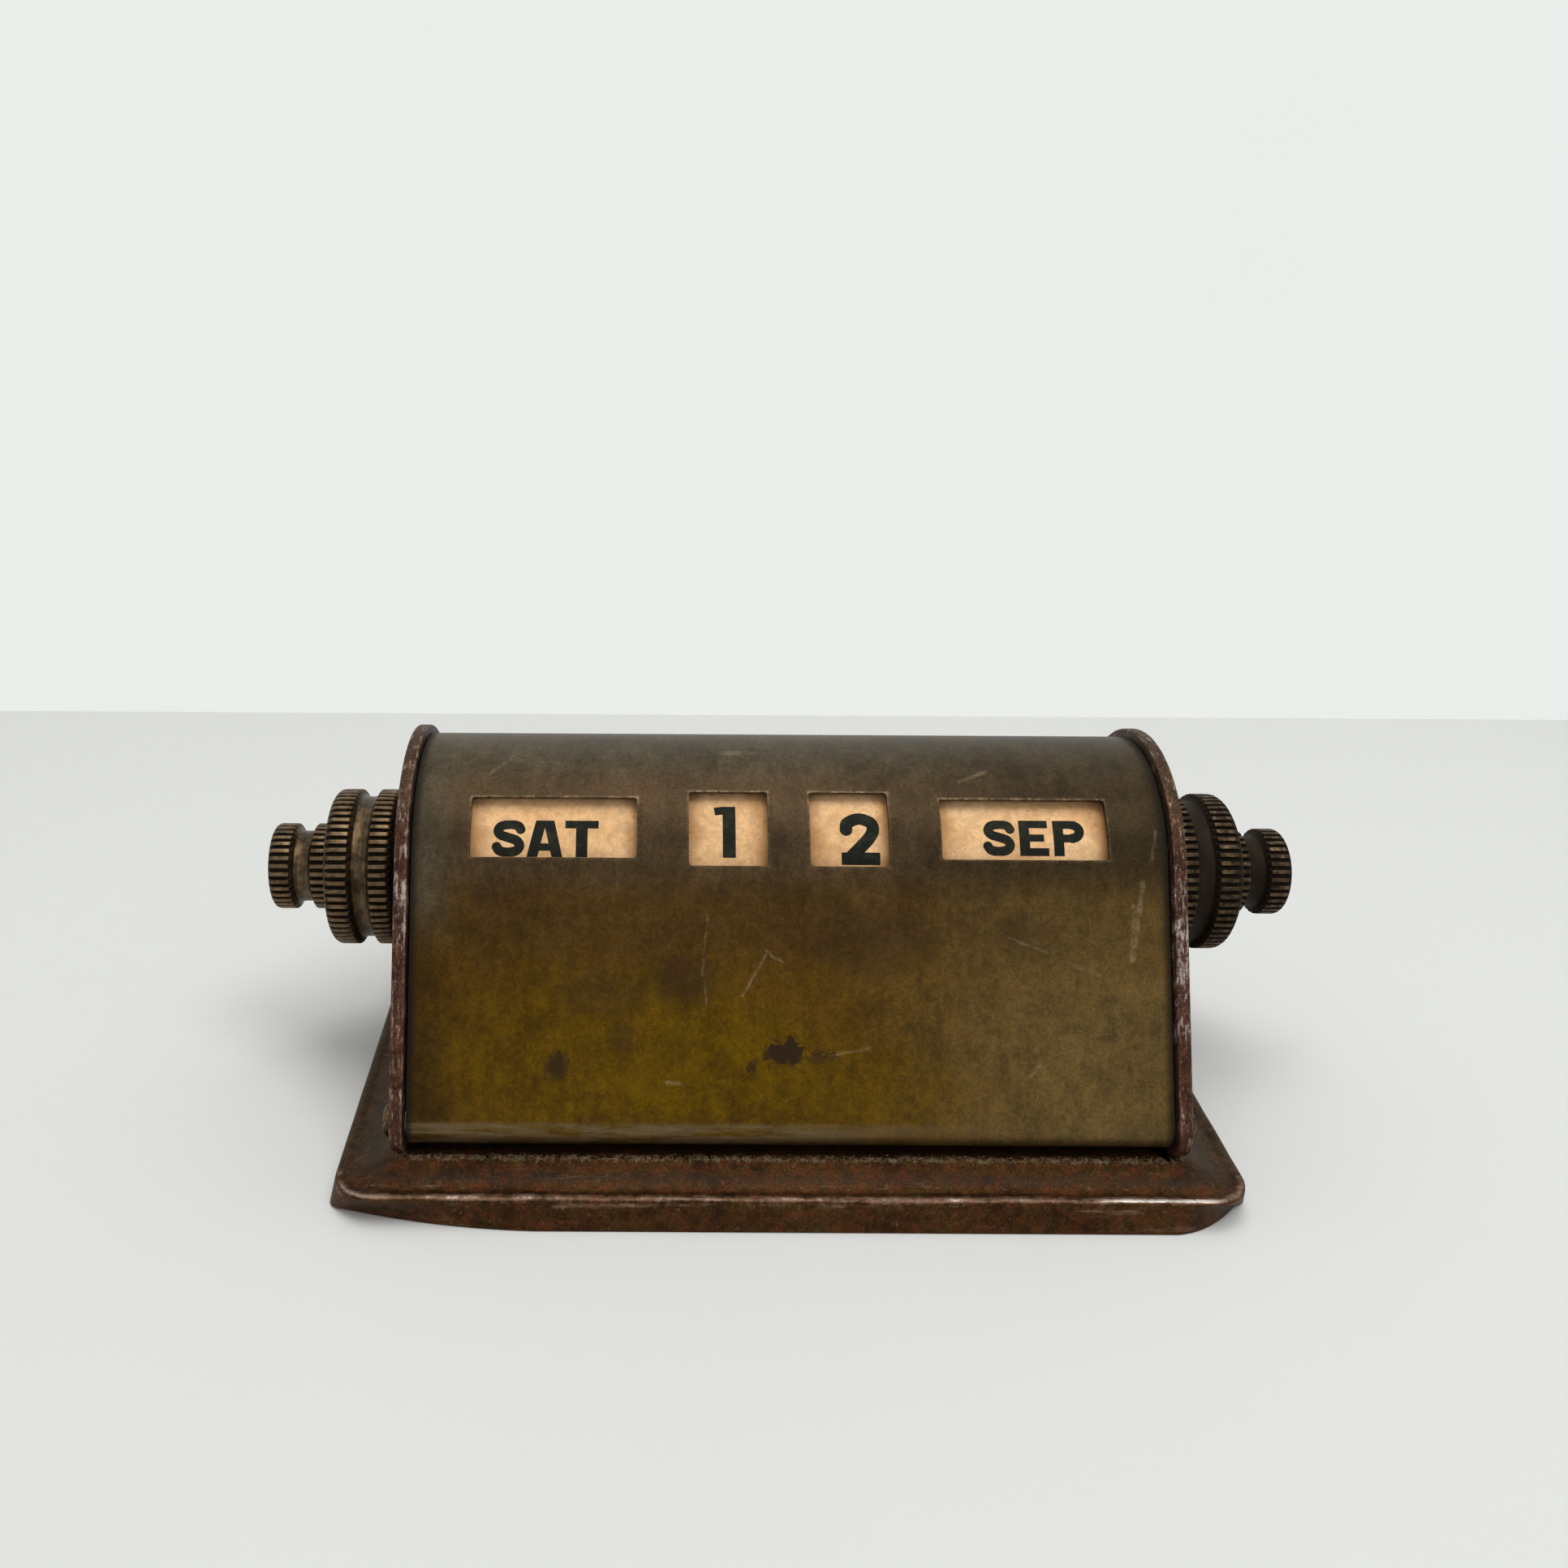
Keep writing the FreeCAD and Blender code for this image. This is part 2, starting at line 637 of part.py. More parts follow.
def knob(start_x, radius, groove_depth, teeth, inner_chamfer, end_round, bore_radius, bore_end_x):
    """A knob with two toothed flanges and a smooth groove between them."""
    land_start = start_x + inner_chamfer
    land_end = land_start + land_width
    waist_start = land_end + shoulder_width
    waist_end = waist_start + waist_width
    far_land = waist_end + shoulder_width
    far_land_end = far_land + land_width
    end_x = far_land_end + end_round
    root = radius - tooth_depth - root_step
    waist_radius = radius - groove_depth
    near = toothed_flange(
        [(start_x, radius - inner_chamfer), (land_start, radius), (land_end, radius)], teeth
    )
    far = toothed_flange(
        [(far_land, radius), (far_land_end, radius), (end_x, radius - end_round)], teeth
    )
    core = turned([
        (land_start, 0),
        (land_start, root),
        (land_end, root),
        (waist_start, waist_radius),
        (waist_end, waist_radius),
        (far_land, root),
        (far_land_end, root),
        (far_land_end, 0),
    ])
    return core.fuse([near, far]).cut(rod(start_x - 1, bore_end_x, bore_radius))


def large_knob():
    """The right large knob, open right through for the sleeve and the spindle."""
    return knob(
        large_knob_start_x, large_knob_radius, large_groove_depth, large_knob_teeth,
        large_inner_chamfer, large_end_round, sleeve_radius + press_clearance,
        large_knob_end_x + 1,
    )


def small_knob():
    """The right small knob, bored from the inside for the spindle's end."""
    return knob(
        small_knob_start_x, small_knob_radius, small_groove_depth, small_knob_teeth,
        small_inner_chamfer, small_end_round, spindle_radius + press_clearance,
        spindle_end_x,
    )


def grub_hole(centre_x, hub_radius, inner_radius):
    """The radial hole for a grub screw, on top of a hub."""
    start = point(centre_x, axis_y, axis_z + inner_radius)
    return Part.makeCylinder(grub_radius + press_clearance, hub_radius - inner_radius + 1, start)


def grub_screw(centre_x, shaft_radius, hub_radius):
    """A headless slotted screw that locks a hub on its shaft."""
    start = shaft_radius + press_clearance
    screw = Part.makeCylinder(
        grub_radius, hub_radius - start, point(centre_x, axis_y, axis_z + start)
    )
    slot = Part.makeBox(2 * grub_radius, grub_radius / 2, grub_radius / 2)
    slot.translate(point(
        centre_x - grub_radius, axis_y - grub_radius / 4, axis_z + hub_radius - grub_radius / 2
    ))
    return screw.cut(slot)


def wide_drum():
    """The right wide roller's drum: rim, web at the outer end and hub, open towards the middle."""
    bore = sleeve_radius + press_clearance
    web_x = wide_drum_end_x - drum_web_thickness
    inner_rim = drum_radius - drum_wall
    drum = turned([
        (wide_drum_start_x, inner_rim),
        (wide_drum_start_x, drum_radius),
        (wide_drum_end_x, drum_radius),
        (wide_drum_end_x, bore),
        (wide_drum_end_x - wide_hub_length, bore),
        (wide_drum_end_x - wide_hub_length, wide_hub_radius),
        (web_x, wide_hub_radius),
        (web_x, inner_rim),
    ])
    return drum.cut(grub_hole(wide_grub_x, wide_hub_radius, bore - 1))


def drum_cap():
    """The disc that closes the wide drum's open end and steadies it on the sleeve."""
    start = wide_drum_start_x + cap_rebate
    rim = drum_radius - drum_wall - press_clearance
    return turned([
        (start, sleeve_radius + press_clearance),
        (start, rim),
        (start + drum_web_thickness, rim),
        (start + drum_web_thickness, sleeve_radius + press_clearance),
    ])


def digit_drum():
    """The right digit roller's drum: rim, web at the outer end and hub on the spindle."""
    bore = spindle_radius + press_clearance
    web_x = digit_drum_end_x - drum_web_thickness
    inner_rim = drum_radius - drum_wall
    drum = turned([
        (digit_drum_start_x, inner_rim),
        (digit_drum_start_x, drum_radius),
        (digit_drum_end_x, drum_radius),
        (digit_drum_end_x, bore),
        (digit_drum_end_x - digit_hub_length, bore),
        (digit_drum_end_x - digit_hub_length, digit_hub_radius),
        (web_x, digit_hub_radius),
        (web_x, inner_rim),
    ])
    return drum.cut(grub_hole(digit_grub_x, digit_hub_radius, bore - 1))


def band(start_x, end_x):
    """A printed paper band glued round a drum."""
    inner = drum_radius + glue_gap
    outer = rod(start_x + band_margin, end_x - band_margin, inner + band_thickness)
    return outer.cut(rod(start_x, end_x, inner))


def export(name, shape):
    """Write one piece, after checking that every solid in it is sound."""
    for solid in shape.Solids:
        if not solid.isValid() or solid.Volume <= 0:
            raise ValueError(name + " has a faulty solid")
    shape.exportStep(os.path.join("parts", name + ".step"))


def build():
    """Make every piece and write it under its name."""
    os.makedirs("parts", exist_ok=True)
    front_centre, back_centre = tie_bar_centres()
    export("base_casting", base_casting())
    export("baize_pad", pad_blank(press_clearance))
    export("cover_shell", cover_shell())
    export("front_tie_bar", tie_bar(front_centre))
    export("rear_tie_bar", tie_bar(back_centre))
    export("tie_bar_screws", tie_screws())
    export("base_screws", base_screws())

    sided = {
        "end_plate": end_plate(),
        "bush": bush(),
        "bush_nut": bush_nut(),
        "drag_washer": drag_washer(),
        "middle_bracket": middle_bracket(),
    }
    for name, shape in sided.items():
        export("right_" + name, shape)
        export("left_" + name, mirrored(shape))

    wide = {
        "large_knob": large_knob(),
        "sleeve": sleeve(),
        "drum": wide_drum(),
        "drum_cap": drum_cap(),
        "grub_screw": grub_screw(wide_grub_x, sleeve_radius, wide_hub_radius),
        "band": band(wide_drum_start_x, wide_drum_end_x),
    }
    for name, shape in wide.items():
        export("month_" + name, shape)
        export("weekday_" + name, mirrored(shape))

    digit = {
        "small_knob": small_knob(),
        "spindle": spindle(),
        "drum": digit_drum(),
        "grub_screw": grub_screw(digit_grub_x, spindle_radius, digit_hub_radius),
        "band": band(digit_drum_start_x, digit_drum_end_x),
    }
    for name, shape in digit.items():
        export("units_" + name, shape)
        export("tens_" + name, mirrored(shape))


build()
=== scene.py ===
"""The dressed model of a perpetual desk calendar.

A sloping metal case stands on a moulded base. Four paper-covered rollers show the weekday, the
two digits of the day and the month through windows in the cover, and two pairs of knurled knobs
turn them. Sizes in the classes are millimetres in the part's own frame: X to the reader's right,
Y to the back, Z up from the table. Meshes are written in metres.
"""
from __future__ import annotations

import logging
import math
from dataclasses import dataclass
from enum import Enum
from typing import Any, Callable, Iterable, Sequence

import bmesh
import bpy
import numpy as np
from mathutils import Matrix, Vector


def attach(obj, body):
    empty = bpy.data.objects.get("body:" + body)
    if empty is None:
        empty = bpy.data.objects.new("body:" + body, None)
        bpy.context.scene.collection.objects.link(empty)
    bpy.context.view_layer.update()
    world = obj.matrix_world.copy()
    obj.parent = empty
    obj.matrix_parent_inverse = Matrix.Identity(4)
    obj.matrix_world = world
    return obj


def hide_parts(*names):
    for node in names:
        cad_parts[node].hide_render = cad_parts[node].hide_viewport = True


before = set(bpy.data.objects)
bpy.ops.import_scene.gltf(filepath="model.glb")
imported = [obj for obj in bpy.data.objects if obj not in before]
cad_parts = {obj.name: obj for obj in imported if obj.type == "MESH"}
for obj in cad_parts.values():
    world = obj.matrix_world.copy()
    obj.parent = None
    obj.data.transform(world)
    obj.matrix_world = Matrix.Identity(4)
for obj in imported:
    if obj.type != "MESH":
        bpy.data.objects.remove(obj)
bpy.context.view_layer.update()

log = logging.getLogger("desk_calendar")

# Metres in a millimetre, and how close two points are that become one, in metres.
MM = 0.001
SEAM = 1e-7
REPEAT_SEAM = 2e-7
TOOTH_SEAM = 4e-7
Colour = tuple[float, float, float]
Point = tuple[float, float, float]
Flat = tuple[float, float]


class Slot(Enum):
    """Material slot names that each piece is passed with; nothing reads them."""

    BASE = "brown_brass"
    COVER = "olive_brass"
    KNOB = "knob_brass"
    INNER = "inner_brass"
    STEEL = "steel"
    TIN = "tinplate"
    PAPER = "aged_paper"
    BAIZE = "baize"


class Side(Enum):
    """Which end of the case a piece belongs to; the value is the sign of its X."""

    LEFT = -1
    RIGHT = 1


# Node trees


def both_ways(operation: str) -> tuple[Callable[..., Wire], Callable[..., Wire]]:
    """An operator that adds a Math node, and its reflected form.

    Args:
        operation: The node's operation.

    Returns:
        The method with this wire first, and the method with the other value first.
    """

    def plain(wire: Wire, other: Any) -> Wire:
        """This wire, then the other value."""
        return wire.sheet.maths(operation, wire, other)

    def reflected(wire: Wire, other: Any) -> Wire:
        """The other value, then this wire."""
        return wire.sheet.maths(operation, other, wire)

    return plain, reflected


@dataclass(frozen=True)
class Wire:
    """A node socket that takes part in Python arithmetic."""

    sheet: NodeSheet
    socket: bpy.types.NodeSocket

    __add__, __radd__ = both_ways("ADD")
    __sub__, __rsub__ = both_ways("SUBTRACT")
    __mul__, __rmul__ = both_ways("MULTIPLY")
    __truediv__, __rtruediv__ = both_ways("DIVIDE")
    __mod__ = both_ways("FLOORED_MODULO")[0]
    least = both_ways("MINIMUM")[0]
    most = both_ways("MAXIMUM")[0]

    def __abs__(self) -> Wire:
        """This without its sign."""
        return self.sheet.maths("ABSOLUTE", self)

    def floored(self) -> Wire:
        """The whole number below this."""
        return self.sheet.maths("FLOOR", self)

    def held(self) -> Wire:
        """This kept between 0 and 1."""
        return self.least(1.0).most(0.0)

    def beside(self, output: str | int) -> Wire:
        """The wire from another output of the same node."""
        return Wire(self.sheet, self.socket.node.outputs[output])


class NodeSheet:
    """A node tree, with one method that adds any node."""

    def __init__(self, tree: bpy.types.NodeTree) -> None:
        """Take an empty tree."""
        self.tree = tree

    def node(
        self,
        kind: str,
        settings: dict[str, Any] | None = None,
        inputs: dict[str | int, Any] | None = None,
        output: str | int = 0,
    ) -> Wire:
        """Add one node, set it up and feed its sockets.

        Args:
            kind: The node's type.
            settings: Properties to set first.
            inputs: Values or wires by socket name or number.
            output: The output that the result starts from.

        Returns:
            The wire from that output; nothing follows an end node's.
        """
        made = self.tree.nodes.new(kind)
        for name, value in (settings or {}).items():
            setattr(made, name, value)
        for key, value in (inputs or {}).items():
            socket = made.inputs[key]
            if isinstance(value, Wire):
                self.tree.links.new(value.socket, socket)
            elif isinstance(value, (tuple, list)) and socket.type == "RGBA":
                socket.default_value = (*value[:3], 1.0)
            else:
                socket.default_value = value
        return Wire(self, made.outputs[output] if len(made.outputs) else None)

    def maths(self, operation: str, first: Any, second: Any = 0.0) -> Wire:
        """Add a Math node for one or two values."""
        return self.node("ShaderNodeMath", {"operation": operation}, {0: first, 1: second})

    def seen(self) -> Wire:
        """1 for rays of the camera, of gloss and through glass, and 0 for the room's light."""
        camera = self.node("ShaderNodeLightPath", output="Is Camera Ray")
        return camera.most(camera.beside("Is Glossy Ray")).most(camera.beside("Is Transmission Ray"))


class FinishSheet(NodeSheet):
    """The node tree of one material, whose colour grows layer by layer."""

    def __init__(self, name: str) -> None:
        """Make the material and clear its tree.

        Args:
            name: The material's name.
        """
        self.material = bpy.data.materials.new(name)
        self.material.use_nodes = True
        super().__init__(self.material.node_tree)
        self.tree.nodes.clear()
        self.place = self.node("ShaderNodeTexCoord", output="Object")
        parts = self.node("ShaderNodeSeparateXYZ", inputs={0: self.place})
        self.x, self.y, self.z = (parts.beside(axis) / MM for axis in range(3))
        self.colour: Wire | None = None

    def grain(
        self,
        size: float,
        detail: float = 4.0,
        roughness: float = 0.55,
        distortion: float = 0.0,
        stretch: Point = (1.0, 1.0, 1.0),
        shift: Point = (0.0, 0.0, 0.0),
    ) -> Wire:
        """A noise pattern from 0 to 1.

        Args:
            size: The width of its largest spots, in millimetres.
            detail: How many finer levels it has.
            roughness: How strong the finer levels are.
            distortion: How much it is stirred.
            stretch: How many times narrower it is along each axis.
            shift: Where the pattern starts, in spots.

        Returns:
            The pattern.
        """
        scale = tuple(part / (size * MM) for part in stretch)
        where = {"Vector": self.place, "Scale": scale, "Location": shift}
        return self.node("ShaderNodeTexNoise", {"noise_dimensions": "3D"}, {
            "Vector": self.node("ShaderNodeMapping", {"vector_type": "POINT"}, where),
            "Scale": 1.0,
            "Detail": detail,
            "Roughness": roughness,
            "Distortion": distortion,
        })

    def rise(self, value: Wire, low: float, high: float) -> Wire:
        """0 up to low, 1 from high on, and smooth between them."""
        smooth = {"interpolation_type": "SMOOTHSTEP", "clamp": True}
        return self.node("ShaderNodeMapRange", smooth, {0: value, 1: low, 2: high, 3: 0.0, 4: 1.0})

    def fall(self, value: Wire, low: float, high: float) -> Wire:
        """1 up to low, 0 from high on, and smooth between them."""
        return 1.0 - self.rise(value, low, high)

    def blend(self, factor: Any, first: Any, second: Any) -> Wire:
        """One colour laid over another, as far as the factor goes."""
        colours = {0: factor, 6: first, 7: second}
        return self.node("ShaderNodeMix", {"data_type": "RGBA", "clamp_factor": True}, colours, 2)

    def lay(self, factor: Any, colour: Any) -> None:
        """Lay a colour over the finish, as far as the factor goes."""
        self.colour = self.blend(factor, self.colour, colour)

    def shade(self, factor: Wire) -> None:
        """Make the finish lighter or darker by a number."""
        colours = {0: self.colour, "Scale": factor}
        self.colour = self.node("ShaderNodeVectorMath", {"operation": "SCALE"}, colours)

    def mark(self, name: str) -> Wire:
        """One of the piece's own number attributes."""
        return self.node("ShaderNodeAttribute", {"attribute_name": name}, output="Fac")

    def spot(self, across: Wire, up: Wire, centre: Flat, reach: Flat, edge: float) -> Wire:
        """A soft oval mark on the front, as a mask from 0 to 1.

        Args:
            across: The coordinate along the case.
            up: The coordinate up the case.
            centre: The oval's middle.
            reach: Its half width and half height.
            edge: Which share of its reach is solid.

        Returns:
            The mask.
        """
        right = (across - centre[0]) / reach[0]
        above = (up - centre[1]) / reach[1]
        return self.fall(right * right + above * above, edge * edge, 1.0)

    def stroke(self, across: Wire, up: Wire, start: Flat, end: Flat, width: float) -> Wire:
        """A thin straight mark on the front, as a mask from 0 to 1.

        Args:
            across: The coordinate along the case.
            up: The coordinate up the case.
            start: Where the mark starts.
            end: Where it ends.
            width: Its half width.

        Returns:
            The mask.
        """
        run, climb = end[0] - start[0], end[1] - start[1]
        length = run * run + climb * climb
        right, above = across - start[0], up - start[1]
        along = (right * (run / length) + above * (climb / length)).held()
        off_x, off_y = right - along * run, above - along * climb
        return self.fall(off_x * off_x + off_y * off_y, 0.0, width * width)

    def surface(
        self,
        roughness: Any,
        metallic: Any,
        height: Wire | None = None,
        depth: float = 0.05,
        specular: float = 0.5,
    ) -> bpy.types.Material:
        """End the tree in one surface.

        Args:
            roughness: Its roughness.
            metallic: How much of it is bare metal.
            height: A pattern that raises the surface.
            depth: How high the pattern stands, in millimetres.
            specular: How strongly it mirrors light where it isn't metal.

        Returns:
            The finished material.
        """
        inputs: dict[str | int, Any] = {
            "Base Color": self.colour,
            "Roughness": roughness,
            "Metallic": metallic,
            "Specular IOR Level": specular,
        }
        if height is not None:
            raised = {"Height": height, "Distance": depth * MM, "Strength": 1.0}
            inputs["Normal"] = self.node("ShaderNodeBump", inputs=raised)
        shaded = self.node("ShaderNodeBsdfPrincipled", inputs=inputs)
        self.node("ShaderNodeOutputMaterial", inputs={"Surface": shaded})
        return self.material


# Finishes


@dataclass(frozen=True)
class OlivePatina:
    """The cover's finish: olive-brown patina, rubbed to gold low down, with old marks."""

    brown: Colour = (0.076, 0.040, 0.0080)
    warm: Colour = (0.100, 0.050, 0.0045)
    olive: Colour = (0.136, 0.086, 0.0265)
    arch: Colour = (0.069, 0.043, 0.0205)
    far_arch: Colour = (0.046, 0.030, 0.0130)
    pale_sheen: Colour = (0.094, 0.076, 0.046)
    gold: Colour = (0.118, 0.065, 0.0010)
    edge: Colour = (0.043, 0.022, 0.0035)
    streak_sheen: Colour = (0.170, 0.125, 0.068)
    stain: Colour = (0.022, 0.009, 0.002)
    bare: Colour = (0.46, 0.34, 0.21)
    grime: Colour = (0.010, 0.007, 0.004)
    windows: tuple[Point, ...] = ((34.2, 24.2, 9.2), (8.8, 11.5, 11.3))

    def make(self) -> bpy.types.Material:
        """Build the material.

        Returns:
            The material.
        """
        mix = FinishSheet("olive_patina")
        x, y, z = mix.x, mix.y, mix.z
        front = mix.fall(y, LINES.axis_y - 0.5, LINES.axis_y + 0.5)
        cloud = mix.grain(15.0, detail=6.0, roughness=0.62)
        patches = mix.grain(5.0, detail=5.0, roughness=0.68, shift=(7.1, 2.3, 5.5))
        mottle = mix.grain(1.5, detail=6.0, roughness=0.72, distortion=0.8, shift=(1.1, 2.3, 0.5))
        brushed = mix.grain(1.6, detail=5.0, roughness=0.72, stretch=(1.0, 0.3, 0.3))
        speckle = mix.grain(0.45, detail=4.0, roughness=0.65)
        stir = (mix.grain(11.0, detail=5.0, roughness=0.62, shift=(1.0, 9.0, 3.0)) - 0.5) * 20.0
        fray = (patches - 0.5) * 12.0

        across, up = x + stir, z + fray + stir * 0.2
        mix.colour = mix.blend(mix.fall(up, 29.0, 38.0), self.brown, self.warm)
        olive = mix.rise(across, 2.0, 42.0) * (0.55 + mix.fall(up, 26.0, 42.0) * 0.45)
        mix.lay(olive, self.olive)
        arch = mix.blend(mix.rise(across, 0.0, 44.0), self.arch, self.far_arch)
        mix.lay(mix.rise(z + fray * 0.2, 40.0, 46.0), arch)
        # Painted reflection: the crown of the arch is laid in a paler grey, less towards the right.
        crown = mix.rise(z + fray * 0.12, 53.6, 57.3) * (1.0 - mix.rise(x, -10.0, 50.0) * 0.55)
        mix.lay(crown, self.pale_sheen)
        # A paler strip up the upper left end, in the same pale grey.
        side = mix.fall(x + fray * 0.3, -53.0, -47.0) * mix.rise(z, 33.0, 42.0)
        mix.lay(side * 0.7, self.pale_sheen)
        rubbed = self._gold_patch(mix, across, up) * front
        rubbed = rubbed * (0.66 + mix.rise(patches + (mottle - 0.5) * 0.8, 0.36, 0.60) * 0.34)
        mix.lay(rubbed, self.gold)
        strip = mix.fall(x + fray * 0.3, -54.0, -46.0) * mix.fall(z, 30.0, 40.0)
        mix.lay(strip * 0.8, self.edge)
        broad = mix.rise(cloud, 0.34, 0.66) * 0.20 + mix.rise(patches, 0.36, 0.64) * 0.26
        mix.shade(0.62 + broad + mix.rise(mottle, 0.34, 0.68) * 0.34)
        mix.shade(0.90 + mix.rise(brushed, 0.40, 0.62) * 0.18)
        mix.shade(0.84 + mix.rise(speckle, 0.36, 0.64) * 0.30)
        band = mix.rise(z, 46.0, 49.0) * mix.fall(z, 53.0, 56.5)
        mix.shade(1.0 - band * 0.28)

        torn = (mottle - 0.5) * 3.0 + (brushed - 0.5) * 3.0
        stained = self._stains(mix, x + torn, z + (mottle - 0.5) * 5.0) * front
        mix.lay(stained, self.stain)
        # Paler streaks on the rolled lower edge: streaky tone with a painted sheen of the bend,
        # strongest on the left.
        curl = mix.fall(z, LINES.curl_top_z - 0.2, LINES.curl_top_z + 0.5) * front
        streaks = mix.grain(1.0, detail=6.0, roughness=0.75, stretch=(0.10, 1.0, 1.0))
        curl = curl * (0.15 + mix.fall(x, -10.0, 30.0) * 0.65)
        mix.lay(curl * mix.rise(streaks, 0.36, 0.62), self.streak_sheen)

        crumble = mix.rise(mottle + (speckle - 0.5) * 0.3, 0.44, 0.62)
        scratched = self._scratches(mix, x, y, z, mottle) * front
        # The pale line round the windows is a worn edge with a painted highlight along the top.
        halo = self._window_edges(mix) * (0.15 + crumble * 0.85)
        mix.lay(halo * 0.30, self.bare)
        mix.lay(scratched * 0.34, self.bare)
        # Painted shadow: the ends beside the plates and the turned-under lower edges are laid
        # near-black.
        ends = mix.rise(abs(x) + (mottle - 0.5) * 1.2, 53.2, 54.6)
        crease = mix.fall(z + (mottle - 0.5) * 1.0, 8.8, 10.4)
        mix.lay(ends.most(crease) * 0.85, self.grime)

        roughness = 0.47 + (mottle - 0.5) * 0.26 + (patches - 0.5) * 0.12 + ends * 0.2
        metallic = 0.82 - (stained + ends) * 0.4
        height = mottle * 0.45 + brushed * 0.15 + speckle * 0.40
        return mix.surface(roughness, metallic, height, depth=0.07, specular=0.25)

    def _gold_patch(self, mix: FinishSheet, x: Wire, z: Wire) -> Wire:
        """The rubbed area: a long oval low on the left, running out past the middle."""
        left = mix.spot(x, z, (-25.0, 22.0), (32.0, 13.5), 0.25) * 0.78
        middle = mix.spot(x, z, (-10.0, 20.5), (20.0, 10.0), 0.35)
        right = mix.spot(x, z, (6.0, 18.0), (26.0, 8.0), 0.20) * 0.70
        return left.most(right).most(middle)

    def _stains(self, mix: FinishSheet, x: Wire, z: Wire) -> Wire:
        """The dark marks on the front."""
        marks = (
            ((-0.6, 22.0), (3.2, 1.9), 0.70, 0.95),
            ((4.2, 21.4), (4.4, 0.9), 0.30, 0.60),
            ((-33.2, 20.2), (2.0, 2.6), 0.20, 0.85),
            ((-14.8, 31.0), (6.5, 4.2), 0.0, 0.55),
            ((-43.6, 41.7), (2.8, 2.5), 0.35, 0.45),
            ((-5.6, 19.9), (0.9, 0.8), 0.40, 0.80),
            ((-27.0, 29.0), (9.0, 3.4), 0.0, 0.40),
            ((-24.0, 24.0), (3.0, 3.0), 0.0, 0.35),
            ((12.0, 36.0), (12.0, 6.0), 0.0, 0.35),
            ((33.0, 38.0), (4.0, 3.0), 0.0, 0.35),
            ((45.6, 24.0), (2.2, 0.9), 0.3, 0.45),
        )
        worst: Wire | float = 0.0
        for centre, reach, edge, strength in marks:
            worst = mix.maths("MAXIMUM", mix.spot(x, z, centre, reach, edge) * strength, worst)
        return worst

    def _scratches(self, mix: FinishSheet, x: Wire, y: Wire, z: Wire, mottle: Wire) -> Wire:
        """The light scratches and smears on the front."""
        sway = (mix.grain(2.2, detail=4.0, shift=(4.0, 4.0, 1.0)) - 0.5) * 2.0
        worn = mix.rise(mottle, 0.40, 0.60)
        marks = (
            ((-3.3, 34.2), (-6.8, 29.0), 0.30, 0.75),
            ((-1.2, 33.2), (-3.6, 34.8), 0.22, 0.6),
            ((-11.8, 39.0), (-12.6, 31.4), 0.26, 0.4),
            ((-12.2, 30.6), (-12.0, 28.0), 0.18, 0.5),
            ((50.9, 43.2), (49.2, 33.6), 0.55, 0.85),
            ((49.6, 40.5), (49.3, 35.4), 0.35, 0.8),
            ((53.2, 49.6), (52.4, 46.4), 0.30, 0.4),
            ((31.5, 36.4), (37.2, 34.6), 0.22, 0.6),
            ((40.2, 33.2), (44.6, 31.8), 0.40, 0.4),
            ((5.6, 21.6), (11.5, 22.6), 0.25, 0.7),
            ((-17.6, 18.2), (-15.8, 18.1), 0.35, 0.9),
            ((34.4, 19.2), (35.6, 20.6), 0.35, 0.6),
            ((-44.0, 54.9), (-41.0, 55.9), 0.18, 0.5),
            ((25.5, 54.4), (30.0, 55.2), 0.20, 0.5),
        )
        most = mix.spot(x + sway, y, (-7.3, 4.6), (3.6, 1.0), 0.2) * 0.8
        for start, end, width, strength in marks:
            mark = mix.stroke(x + sway * 0.5, z + sway * 0.3, start, end, width) * strength
            most = most.most(mark)
        fine = mix.grain(1.3, detail=6.0, roughness=0.75, stretch=(1.0, 0.2, 0.2))
        return (most * (0.25 + worn * 0.75)).most(mix.rise(fine, 0.66, 0.80) * 0.45)

    def _window_edges(self, mix: FinishSheet) -> Wire:
        """A thin pale line round each window: a worn edge, with a painted highlight that makes it
        clearest along the top.
        """
        turn = math.radians(LINES.window_elevation)
        back, above = mix.y - LINES.axis_y, mix.z - LINES.axis_z
        up = back * math.sin(turn) + above * math.cos(turn)
        out = above * math.sin(turn) - back * math.cos(turn)
        nearest: Wire | float = 99.0
        for centre, width, height in self.windows:
            beside = abs(abs(mix.x) - centre) - width / 2
            over = abs(up) - height / 2
            nearest = mix.maths("MINIMUM", beside.most(over), nearest)
        # Painted highlight: the line is laid stronger along each window's top edge.
        lit = 0.35 + mix.rise(up, 3.0, 4.8) * 0.65
        return mix.fall(nearest, 0.08, 0.42) * mix.rise(out, 0.0, 4.0) * lit


